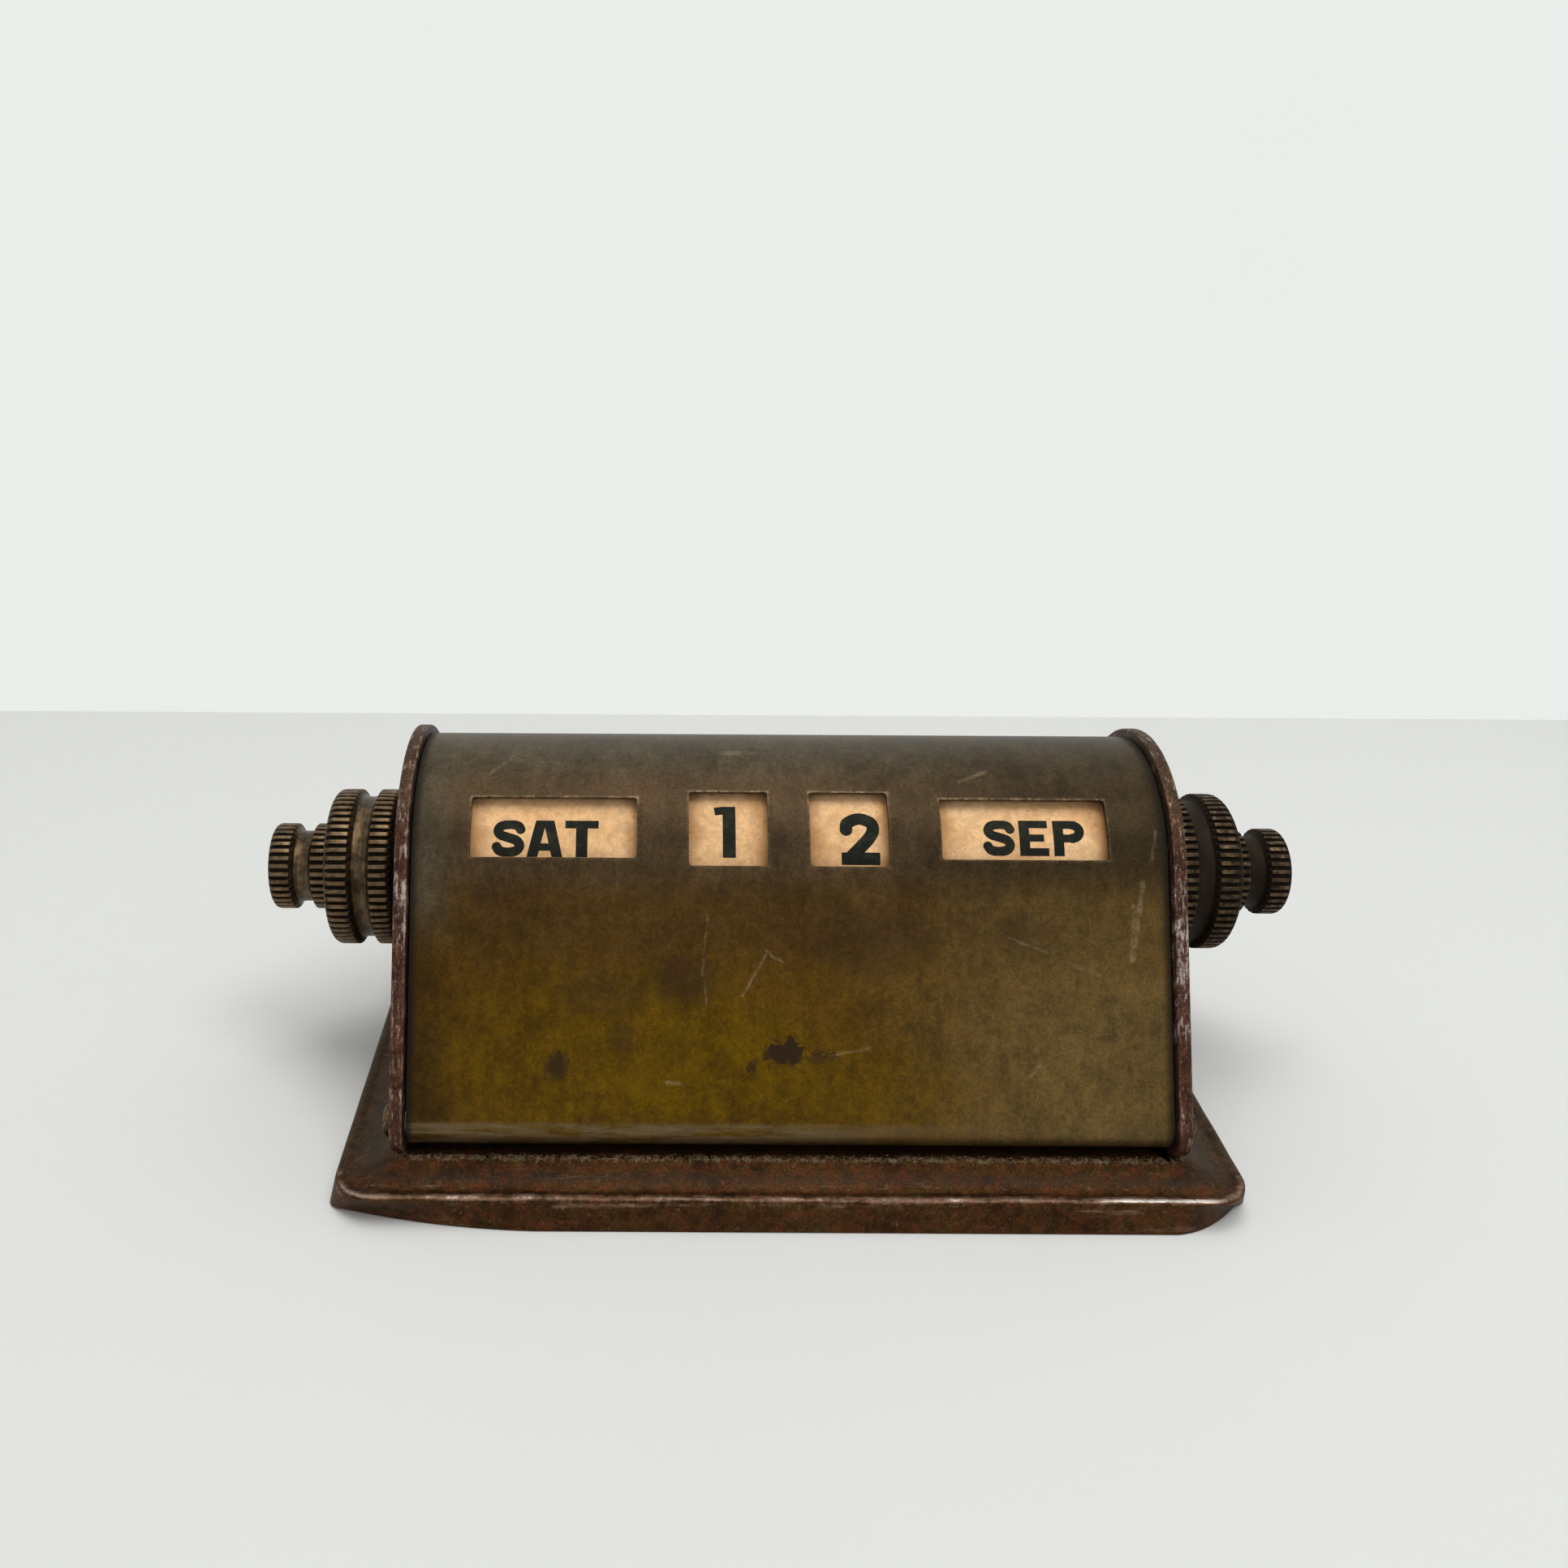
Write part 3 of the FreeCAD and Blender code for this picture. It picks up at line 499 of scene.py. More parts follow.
@dataclass(frozen=True)
class BrownPatina:
    """The base's and the end plates' finish: red-brown patina, worn pale along its edges, with a
    painted highlight along the ridge's right stretch and painted shade in its hollows.
    """

    dark: Colour = (0.040, 0.0150, 0.0030)
    middle: Colour = (0.070, 0.0310, 0.0070)
    red: Colour = (0.080, 0.0210, 0.0080)
    khaki: Colour = (0.058, 0.0340, 0.0060)
    grey: Colour = (0.060, 0.037, 0.019)
    worn: Colour = (0.40, 0.255, 0.180)
    rosy: Colour = (0.088, 0.036, 0.026)
    bright: Colour = (0.85, 0.76, 0.68)
    dust: Colour = (0.24, 0.18, 0.10)
    grime: Colour = (0.012, 0.007, 0.004)

    def make(self) -> bpy.types.Material:
        """Build the material.

        Returns:
            The material.
        """
        mix = FinishSheet("brown_patina")
        cloud = mix.grain(9.0, detail=6.0, roughness=0.65)
        mottle = mix.grain(1.8, detail=6.0, roughness=0.70, shift=(3.0, 1.0, 2.0))
        speckle = mix.grain(0.35, detail=3.0, roughness=0.6)
        rubbed = mix.grain(1.6, detail=5.0, roughness=0.7, stretch=(0.12, 1.0, 1.0))
        chips = mix.grain(2.6, detail=6.0, roughness=0.78, shift=(5.0, 5.0, 5.0))
        ribbed = mix.grain(1.1, detail=5.0, roughness=0.78, stretch=(2.2, 0.5, 0.34))
        rim = mix.rise(abs(mix.x), 54.6, 54.9) * mix.fall(abs(mix.x), 56.7, 56.95)
        rim = rim * mix.rise(mix.z, 7.6, 8.2)
        rubbed = rubbed + rim * (ribbed - rubbed)
        wear, dust = mix.mark("wear"), mix.mark("dust")
        grime, grey = mix.mark("grime"), mix.mark("greyed")

        mix.colour = mix.blend(mix.rise(cloud, 0.36, 0.62), self.dark, self.middle)
        mix.lay(mix.rise(mottle, 0.46, 0.62) * 0.60, self.red)
        khaki = mix.rise(mix.grain(3.0, detail=6.0, roughness=0.7, shift=(6.0, 2.0, 9.0)), 0.50, 0.64)
        mix.lay(khaki * 0.55, self.khaki)
        mix.lay(grey * (0.35 + mottle * 0.8), self.grey)
        crown = rim * mix.rise(mix.z + (cloud - 0.5) * 8.0, 46.0, 53.0)
        mix.lay(rim * 0.65, self.rosy)
        mix.lay(crown * 0.75, self.grey)
        mix.shade(0.60 + mix.rise(mottle, 0.34, 0.66) * 0.72)
        mix.shade(0.70 + mix.rise(speckle, 0.36, 0.62) * 0.58)

        scuffed = mix.rise(wear * 0.60 + chips * 0.95 + (rubbed - 0.5) * 1.0, 0.84, 1.18)
        lines = mix.rise(rubbed + rim * 0.04, 0.59, 0.69) * (0.16 + wear * 0.64 + rim * 0.36)
        fleck = mix.grain(0.9, detail=5.0, roughness=0.75, shift=(2.0, 8.0, 4.0))
        flecks = mix.rise(fleck, 0.58, 0.70)
        # Pale chips and rim rubs are wear; the ridge's right stretch adds a painted highlight, all
        # laid in the same near-white.
        chips_and_highlight = mix.rise(wear * 0.75 + chips * 0.75 + (rubbed - 0.5) * 0.3, 1.14, 1.28) * 0.7
        right = mix.rise(mix.x, 0.0, 1.0)
        handled = mix.rise(mix.z + right * 14.0, 33.0, 39.0) * mix.fall(mix.z, 42.0, 50.0)
        rubs = mix.rise(chips * 0.6 + ribbed * 0.9 + handled * 0.07, 0.80, 0.98)
        chips_and_highlight = chips_and_highlight.most(rim * rubs * (0.26 + handled * 0.34))
        polish_and_highlight = mix.rise(wear + (mottle - 0.5) * 0.3, 0.90, 1.0) * self._polish_and_highlight(mix, rubbed)
        chips_and_highlight = chips_and_highlight.most(polish_and_highlight)
        mix.lay(scuffed * 0.50, self.worn)
        mix.lay(lines * 0.50, self.worn)
        mix.lay(flecks * (0.12 + wear * 0.32), self.worn)
        mix.lay(chips_and_highlight * 0.9, self.bright)
        # Painted shade: the cove's hollow, the flat under the case, the pad recess's rim and the
        # plates' inner edges are laid darker and less metallic.
        mix.lay(grime * 0.9, self.grime)
        fluff = mix.rise(mix.grain(0.7, detail=5.0, roughness=0.75) * dust, 0.40, 0.62)
        mix.lay(fluff * 0.7, self.dust)

        roughness = 0.56 + (mottle - 0.5) * 0.50 - chips_and_highlight * 0.26 + fluff * 0.30
        metallic = 0.75 - fluff * 0.6 - grime * 0.5
        height = mottle * 0.45 + speckle * 0.25 + rubbed * 0.3
        return mix.surface(roughness, metallic, height, depth=0.17, specular=0.25)

    @staticmethod
    def _polish_and_highlight(mix: FinishSheet, rubbed: Wire) -> Wire:
        """The two stretches of the base's ridge that are laid pale: a painted highlight on the right,
        and a faint rubbed patch at the left front corner.
        """
        sway = (rubbed - 0.5) * 5.0
        right = mix.rise(mix.x + sway, 42.0, 47.0) * mix.fall(mix.x + sway, 58.0, 62.0)
        left = mix.fall(mix.x + sway, -60.0, -56.0) * mix.fall(mix.y, -31.0, -29.0)
        return right.most(left * 0.18)


@dataclass(frozen=True)
class KnurledBrass:
    """The knobs' finish: tooth tips rubbed bright, valleys full of old dirt, and painted shade over
    the knobs on the right end.
    """

    waist: Colour = (0.105, 0.070, 0.036)
    shade: Colour = (0.040, 0.025, 0.0115)
    tip: Colour = (0.25, 0.165, 0.09)
    dirt: Colour = (0.010, 0.006, 0.0025)

    def make(self) -> bpy.types.Material:
        """Build the material.

        Returns:
            The material.
        """
        mix = FinishSheet("knurled_brass")
        cloud = mix.grain(4.0, detail=5.0, roughness=0.6)
        mottle = mix.grain(1.1, detail=4.0, roughness=0.65, shift=(2.0, 2.0, 7.0))
        turned = mix.grain(0.35, detail=3.0, roughness=0.6, stretch=(1.0, 0.12, 0.12))
        crest, valley, soot = mix.mark("crest"), mix.mark("valley"), mix.mark("soot")
        mix.colour = mix.blend(mix.rise(cloud, 0.32, 0.68), self.shade, self.waist)
        mix.shade(0.46 + mix.rise(mottle, 0.28, 0.72) * 1.00)
        mix.shade(0.70 + mix.rise(turned, 0.35, 0.65) * 0.56)
        # On the right end's knobs, painted shade dims the tips and darkens the whole knob.
        rubbed = mix.rise(crest * (0.35 + mottle * 1.1 - soot * 0.14), 0.50, 1.05)
        mix.lay(rubbed * 0.60, self.tip)
        dirty = mix.rise(valley + (mottle - 0.5) * 0.5, 0.30, 0.75)
        dirty = dirty.most(soot * (1.0 - rubbed) * (0.70 + mottle * 0.40))
        mix.lay(dirty * 0.92, self.dirt)
        roughness = 0.42 + (mottle - 0.5) * 0.26 + dirty * 0.3
        metallic = 0.85 - dirty * 0.25
        height = mottle * 0.5 + turned * 0.5
        return mix.surface(roughness, metallic, height, depth=0.03, specular=0.3)


@dataclass(frozen=True)
class AgedPaper:
    """The bands' finish: cream paper gone peach and tan, browner towards the windows' side edges,
    partly grime and partly painted shade of the cover.
    """

    light: Colour = (0.97, 0.620, 0.320)
    middle: Colour = (0.82, 0.480, 0.220)
    tan: Colour = (0.42, 0.185, 0.056)
    brown: Colour = (0.20, 0.085, 0.025)

    def make(self) -> bpy.types.Material:
        """Build the material.

        Returns:
            The material.
        """
        mix = FinishSheet("aged_paper")
        cloud = mix.grain(6.5, detail=4.0, roughness=0.6)
        mottle = mix.grain(1.4, detail=5.0, roughness=0.65, shift=(1.0, 6.0, 2.0))
        fibre = mix.grain(0.22, detail=3.0, roughness=0.6)
        mix.colour = mix.blend(mix.rise(cloud, 0.30, 0.68), self.light, self.middle)
        # Towards each window's side edges the paper is laid browner: partly grime, partly painted
        # shade from the cover.
        far = abs(abs(mix.x) - 34.2) - 12.1
        near = abs(abs(mix.x) - 8.8) - 5.75
        edge = mix.rise(far.least(near) + (cloud - 0.5) * 4.0, -3.2, 0.4)
        mix.lay(edge * (0.30 + mottle * 0.85), self.tan)
        mix.shade(0.86 + mix.rise(mottle, 0.38, 0.60) * 0.22)
        spots = mix.rise(mottle, 0.58, 0.72)
        mix.lay(spots * (0.30 + edge * 0.50), self.tan)
        specks = mix.rise(mix.grain(0.7, detail=4.0, shift=(9.0, 1.0, 1.0)), 0.66, 0.76)
        mix.lay(specks * 0.5, self.brown)
        mix.shade(0.92 + mix.rise(fibre, 0.35, 0.65) * 0.12)
        return mix.surface(0.85, 0.0, fibre, depth=0.02, specular=0.25)


@dataclass(frozen=True)
class PrintedInk:
    """The lettering's finish: near-black green ink, a little worn."""

    black: Colour = (0.0105, 0.0120, 0.0080)
    worn: Colour = (0.060, 0.054, 0.036)

    def make(self) -> bpy.types.Material:
        """Build the material.

        Returns:
            The material.
        """
        mix = FinishSheet("printed_ink")
        patch = mix.grain(2.0, detail=5.0, roughness=0.65)
        speck = mix.grain(0.35, detail=3.0)
        mix.colour = mix.blend(mix.rise(patch, 0.44, 0.72) * 0.45, self.black, self.worn)
        mix.lay(mix.rise(speck, 0.68, 0.76) * 0.35, (0.20, 0.14, 0.08))
        return mix.surface(0.75 + patch * 0.2, 0.0, speck, depth=0.01, specular=0.2)


@dataclass(frozen=True)
class PlainMetal:
    """A hidden part's finish: a clean turned or rolled metal with a little tarnish."""

    name: str
    light: Colour
    tarnish: Colour
    roughness: float = 0.35

    def make(self) -> bpy.types.Material:
        """Build the material.

        Returns:
            The material.
        """
        mix = FinishSheet(self.name)
        cloud = mix.grain(5.0, detail=5.0, roughness=0.6)
        lines = mix.grain(0.4, detail=3.0, stretch=(1.0, 0.1, 0.1))
        spots = mix.rise(mix.grain(0.9, detail=4.0, roughness=0.7), 0.58, 0.72)
        mix.colour = mix.blend(mix.rise(cloud, 0.35, 0.75), self.light, self.tarnish)
        mix.lay(spots * 0.45, self.tarnish)
        mix.shade(0.88 + lines * 0.24)
        roughness = self.roughness + (cloud - 0.5) * 0.25 + spots * 0.2
        return mix.surface(roughness, 0.95 - spots * 0.3, lines, depth=0.015)


@dataclass(frozen=True)
class GreenBaize:
    """The pad's finish: felted green wool cloth."""

    nap: Colour = (0.020, 0.075, 0.030)
    fibre: Colour = (0.050, 0.130, 0.055)

    def make(self) -> bpy.types.Material:
        """Build the material.

        Returns:
            The material.
        """
        mix = FinishSheet("green_baize")
        felt = mix.grain(0.5, detail=6.0, roughness=0.7, distortion=1.2)
        thread = mix.grain(0.25, detail=3.0, stretch=(1.0, 0.25, 1.0))
        worn = mix.grain(14.0, detail=4.0)
        mix.colour = mix.blend(mix.rise(felt, 0.35, 0.70), self.nap, self.fibre)
        mix.shade(0.70 + worn * 0.35 + thread * 0.25)
        return mix.surface(0.95, 0.0, felt * 0.7 + thread * 0.3, depth=0.12, specular=0.2)


@dataclass(frozen=True)
class Fluff:
    """The finish of the lint in the crease at the foot of the cover."""

    pale: Colour = (0.34, 0.27, 0.17)
    dull: Colour = (0.12, 0.085, 0.045)

    def make(self) -> bpy.types.Material:
        """Build the material.

        Returns:
            The material.
        """
        mix = FinishSheet("lint")
        tone = mix.grain(1.3, detail=3.0)
        fuzz = mix.grain(0.15, detail=3.0)
        mix.colour = mix.blend(mix.rise(tone, 0.35, 0.65), self.dull, self.pale)
        return mix.surface(0.95, 0.0, fuzz, depth=0.02, specular=0.1)


class Finishes:
    """All the finishes, each made once."""

    def __init__(self) -> None:
        """Make every material."""
        self.cover = OlivePatina().make()
        self.brown = BrownPatina().make()
        self.knob = KnurledBrass().make()
        self.paper = AgedPaper().make()
        self.ink = PrintedInk().make()
        self.baize = GreenBaize().make()
        self.lint = Fluff().make()
        self.brass = PlainMetal("inner_brass_finish", (0.56, 0.39, 0.16), (0.16, 0.09, 0.03)).make()
        self.steel = PlainMetal("steel_finish", (0.46, 0.45, 0.43), (0.12, 0.10, 0.08)).make()
        self.tin = PlainMetal("tin_finish", (0.55, 0.54, 0.50), (0.20, 0.17, 0.13), 0.45).make()


# Lines and meshes


def straight(start: Flat, end: Flat, steps: int) -> list[Flat]:
    """A straight row of points, without its last."""
    parts = [step / steps for step in range(steps)]
    return [tuple(a + (b - a) * part for a, b in zip(start, end)) for part in parts]


def arc(centre: Flat, radius: float, start: float, end: float, steps: int) -> list[Flat]:
    """Points along an arc, both ends included.

    Args:
        centre: The arc's centre.
        radius: Its radius.
        start: Its first angle, in degrees from the first axis.
        end: Its last angle.
        steps: How many parts it is divided into.

    Returns:
        The points.
    """
    turns = [math.radians(start + (end - start) * step / steps) for step in range(steps + 1)]
    y, z = centre
    return [(y + radius * math.cos(turn), z + radius * math.sin(turn)) for turn in turns]


def linked(runs: Sequence[list[Flat]], steps: Sequence[int]) -> list[Flat]:
    """Rows of points with straight stretches between them.

    Args:
        runs: The rows, in order.
        steps: How many parts each stretch has.

    Returns:
        The whole row.
    """
    path = list(runs[0])
    for row, count in zip(runs[1:], steps):
        path += straight(path[-1], row[0], count)[1:] + row
    return path


def rounded_box(half: Flat, corner: float, steps: int) -> list[Flat]:
    """A closed rectangle about the origin, with rounded corners.

    Args:
        half: Half its width and height.
        corner: The radius of its corners.
        steps: How many parts each corner has.

    Returns:
        Its points.
    """
    points: list[Flat] = []
    for right, above, start in ((1, -1, -90.0), (1, 1, 0.0), (-1, 1, 90.0), (-1, -1, 180.0)):
        middle = (right * (half[0] - corner), above * (half[1] - corner))
        points += arc(middle, corner, start, start + 90.0, steps)
    return points


def close_seams(mesh: bpy.types.Mesh, reach: float = SEAM) -> bpy.types.Mesh:
    """Join a mesh's coincident points and turn its faces outwards.

    Args:
        mesh: The mesh.
        reach: How close two points are that become one, in metres.

    Returns:
        The same mesh.
    """
    tidy = bmesh.new()
    tidy.from_mesh(mesh)
    bmesh.ops.remove_doubles(tidy, verts=tidy.verts[:], dist=reach)
    bmesh.ops.recalc_face_normals(tidy, faces=tidy.faces[:])
    tidy.to_mesh(mesh)
    tidy.free()
    return mesh


class Skin:
    """The points and faces of one piece, gathered in millimetres."""

    def __init__(self) -> None:
        """Start with nothing."""
        self.points: list[Point] = []
        self.faces: list[list[int]] = []
        self.marks: dict[str, dict[int, float]] = {}

    def ring(self, points: Iterable[Point], **marks: float) -> list[int]:
        """Add a row of points.

        Args:
            points: The points, in order.
            marks: Attribute values that all of them get.

        Returns:
            Their numbers.
        """
        start = len(self.points)
        self.points.extend(points)
        numbers = list(range(start, len(self.points)))
        for name, value in marks.items():
            self.marks.setdefault(name, {}).update(dict.fromkeys(numbers, value))
        return numbers

    def bridge(self, first: Sequence[int], second: Sequence[int], closed: bool = True) -> None:
        """Join two rows of the same length with four-sided faces.

        Args:
            first: One row.
            second: The next row.
            closed: Whether the rows go all the way round.
        """
        count = len(first)
        for step in range(count if closed else count - 1):
            after = (step + 1) % count
            self.faces.append([first[step], first[after], second[after], second[step]])

    def cap(self, ring: Sequence[int]) -> None:
        """Close a row with one face."""
        self.faces.append(list(ring))

    def loft(self, rings: Sequence[Sequence[int]], around: bool = False) -> None:
        """Join rows one after another.

        Args:
            rings: The rows, in order.
            around: Whether the last row joins the first again.
        """
        for first, second in zip(rings, rings[1:]):
            self.bridge(first, second)
        if around:
            self.bridge(rings[-1], rings[0])

    def block(self, low: Iterable[Point], high: Iterable[Point]) -> Skin:
        """Add a solid between two closed rows of the same length.

        Args:
            low: One row.
            high: The other row.

        Returns:
            This skin.
        """
        rings = [self.ring(low), self.ring(high)]
        self.loft(rings)
        for ring in rings:
            self.cap(ring)
        return self

    def plate_with_holes(self, outline: Sequence[int], holes: Sequence[Sequence[int]]) -> None:
        """Fill a flat outline, leaving its holes open.

        Args:
            outline: The outer row.
            holes: The rows round the holes.
        """
        filler = bmesh.new()
        lookup: dict[bmesh.types.BMVert, int] = {}
        for loop in (outline, *holes):
            made = [filler.verts.new(self.points[number]) for number in loop]
            lookup.update(zip(made, loop))
            for step, vert in enumerate(made):
                filler.edges.new((vert, made[(step + 1) % len(made)]))
        bmesh.ops.triangle_fill(filler, use_beauty=True, edges=filler.edges[:])
        self.faces += [[lookup[vert] for vert in face.verts] for face in filler.faces]
        filler.free()

    def raw_mesh(self, name: str) -> bpy.types.Mesh:
        """Write the mesh in metres as it is.

        Args:
            name: The mesh's name.

        Returns:
            The mesh.
        """
        made = bpy.data.meshes.new(name)
        made.from_pydata([[part * MM for part in point] for point in self.points], [], self.faces)
        for mark, values in self.marks.items():
            layer = made.attributes.new(mark, "FLOAT", "POINT")
            numbers = np.zeros(len(self.points), dtype=np.float32)
            numbers[list(values)] = list(values.values())
            layer.data.foreach_set("value", numbers)
        return made

    def mesh(self, name: str) -> bpy.types.Mesh:
        """The mesh in metres, with its seams closed and its faces turned outwards."""
        return close_seams(self.raw_mesh(name))


def turned_skin(
    outline: Sequence[Flat], centre: Flat, steps: int, sign: int = 1, around: bool = True
) -> Skin:
    """An outline turned about a line along X.

    Args:
        outline: Its corners (x, radius), for the right side.
        centre: Where the line is (y, z).
        steps: How many parts a turn has.
        sign: The sign of the piece's side.
        around: Whether the outline is closed.

    Returns:
        The skin.
    """
    skin = Skin()
    rings = [
        skin.ring((sign * x, y, z) for y, z in arc(centre, radius, 0.0, 360.0, steps)[:-1])
        for x, radius in outline
    ]
    skin.loft(rings, around)
    return skin


class Bench:
    """Where a mesh becomes a piece of the model."""

    @staticmethod
    def lay(name: str, mesh: bpy.types.Mesh) -> bpy.types.Object:
        """Put a mesh in the scene, at the origin.

        Args:
            name: The object's name.
            mesh: Its mesh.

        Returns:
            The object.
        """
        made = bpy.data.objects.new(name, mesh)
        bpy.context.scene.collection.objects.link(made)
        return made

    @staticmethod
    def settled(piece: bpy.types.Object) -> bpy.types.Mesh:
        """The plain mesh that a piece's modifiers, or a filled curve, come to."""
        bpy.context.view_layer.update()
        graph = bpy.context.evaluated_depsgraph_get()
        return bpy.data.meshes.new_from_object(piece.evaluated_get(graph))

    @staticmethod
    def settle_modifiers(piece: bpy.types.Object) -> None:
        """Turn a piece with live modifiers into a plain mesh."""
        done = Bench.settled(piece)
        piece.modifiers.clear()
        piece.data = done

    @staticmethod
    def cut(
        piece: bpy.types.Object, blocks: Sequence[Skin], width: float, steps: int, degrees: float
    ) -> None:
        """Cut blocks out of a piece and round its sharp edges.

        Args:
            piece: The piece.
            blocks: What is cut out.
            width: How wide the rounding is, in millimetres.
            steps: How many faces it has.
            degrees: The smallest angle that is rounded.
        """
        saws = [Bench.lay("saw", block.mesh("saw")) for block in blocks]
        for saw in saws:
            cut = piece.modifiers.new("cut", "BOOLEAN")
            cut.operation = "DIFFERENCE"
            cut.solver = "EXACT"
            cut.object = saw
        bevel = piece.modifiers.new("rounded_edges", "BEVEL")
        bevel.width = width * MM
        bevel.segments = steps
        bevel.limit_method = "ANGLE"
        bevel.angle_limit = math.radians(degrees)
        bevel.use_clamp_overlap = True
        bevel.miter_outer = "MITER_ARC"
        Bench.settle_modifiers(piece)
        for saw in saws:
            bpy.data.objects.remove(saw)

    @staticmethod
    def finish(
        piece: bpy.types.Object,
        body: str,
        materials: Sequence[bpy.types.Material],
        slot: Slot,
        replaces: Sequence[str] = (),
        smooth: float = 38.0,
    ) -> bpy.types.Object:
        """Dress a piece and tie it to the model.

        Args:
            piece: The piece, with no modifiers left.
            body: The moving body that it rides on.
            materials: Its materials, in the order of its faces' numbers.
            slot: The material slot of its finish; not used.
            replaces: The solids that it stands for.
            smooth: The angle above which an edge stays sharp.

        Returns:
            The piece.
        """
        mesh = piece.data
        for material in materials[len(mesh.materials):]:
            mesh.materials.append(material)
        mesh.polygons.foreach_set("use_smooth", [True] * len(mesh.polygons))
        mesh.set_sharp_from_angle(angle=math.radians(smooth))
        mesh.update()
        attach(piece, body)
        if replaces:
            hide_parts(*replaces)
        log.info("%s: %d faces, rides on %s", piece.name, len(mesh.polygons), body)
        return piece


class RepeatSheet(NodeSheet):
    """A Geometry Nodes tree with named inputs, used once on a piece."""

    def __init__(self, name: str, sizes: dict[str, Any]) -> None:
        """Make the tree's inputs.

        Args:
            name: The tree's name.
            sizes: The value of each named input; whole numbers stay whole.
        """
        super().__init__(bpy.data.node_groups.new(name, "GeometryNodeTree"))
        face = self.tree.interface
        face.new_socket("Geometry", in_out="INPUT", socket_type="NodeSocketGeometry")
        face.new_socket("Geometry", in_out="OUTPUT", socket_type="NodeSocketGeometry")
        kinds = {int: "NodeSocketInt", float: "NodeSocketFloat"}
        self.values: dict[str, Any] = {}
        for title, value in sizes.items():
            kind = kinds.get(type(value), "NodeSocketMaterial")
            socket = face.new_socket(title, in_out="INPUT", socket_type=kind)
            self.values[socket.identifier] = value
        self.start = self.node("NodeGroupInput")

    def size(self, title: str) -> Wire:
        """The wire of one named input."""
        return self.start.beside(title)

    def end(self, shape: Wire) -> None:
        """Close the tree with real faces and their material.

        Args:
            shape: The instances to make real.
        """
        real = self.node("GeometryNodeRealizeInstances", inputs={0: shape})
        seam = {"Geometry": real, "Distance": REPEAT_SEAM}
        closed = self.node("GeometryNodeMergeByDistance", inputs=seam)
        finish = {"Geometry": closed, "Material": self.size("Material")}
        dressed = self.node("GeometryNodeSetMaterial", inputs=finish)
        self.node("NodeGroupOutput", inputs={0: dressed})

    def run(self, piece: bpy.types.Object) -> None:
        """Apply the tree to a piece and leave a plain mesh.

        Args:
            piece: The piece that holds the shape to repeat.
        """
        modifier = piece.modifiers.new("repeat", "NODES")
        modifier.node_group = self.tree
        for identifier, value in self.values.items():
            modifier[identifier] = value
        Bench.settle_modifiers(piece)


# The case in the side view


@dataclass(frozen=True)
class CaseLines:
    """The side view that the plates, the cover and the rollers share, in millimetres."""

    axis_y: float = 7.492
    axis_z: float = 35.0
    slope: float = 61.0
    plate_radius: float = 22.7
    cover_radius: float = 21.4
    nose_reach: float = 34.684
    bar_z: float = 11.45
    front_bar_y: float = -26.37
    rear_bar_y: float = 25.692
    curl_radius: float = 3.2
    window_elevation: float = 43.9

    @property
    def axis(self) -> Flat:
        """Where the roller axis is (y, z)."""
        return self.axis_y, self.axis_z

    @property
    def normal(self) -> float:
        """The angle from +Y of the sloping front's outward direction."""
        return self.slope + 90.0

    @property
    def curl_top_z(self) -> float:
        """Where the flat front goes over into the rolled edge."""
        return self.bar_z + self.curl_radius * math.sin(math.radians(self.normal))

    def about_axis(self, radius: float, degrees: float) -> Flat:
        """A point (y, z) at an elevation seen from the roller axis, from the front upwards."""
        turn = math.radians(degrees)
        return (self.axis_y - radius * math.cos(turn), self.axis_z + radius * math.sin(turn))


LINES = CaseLines()


# Pieces


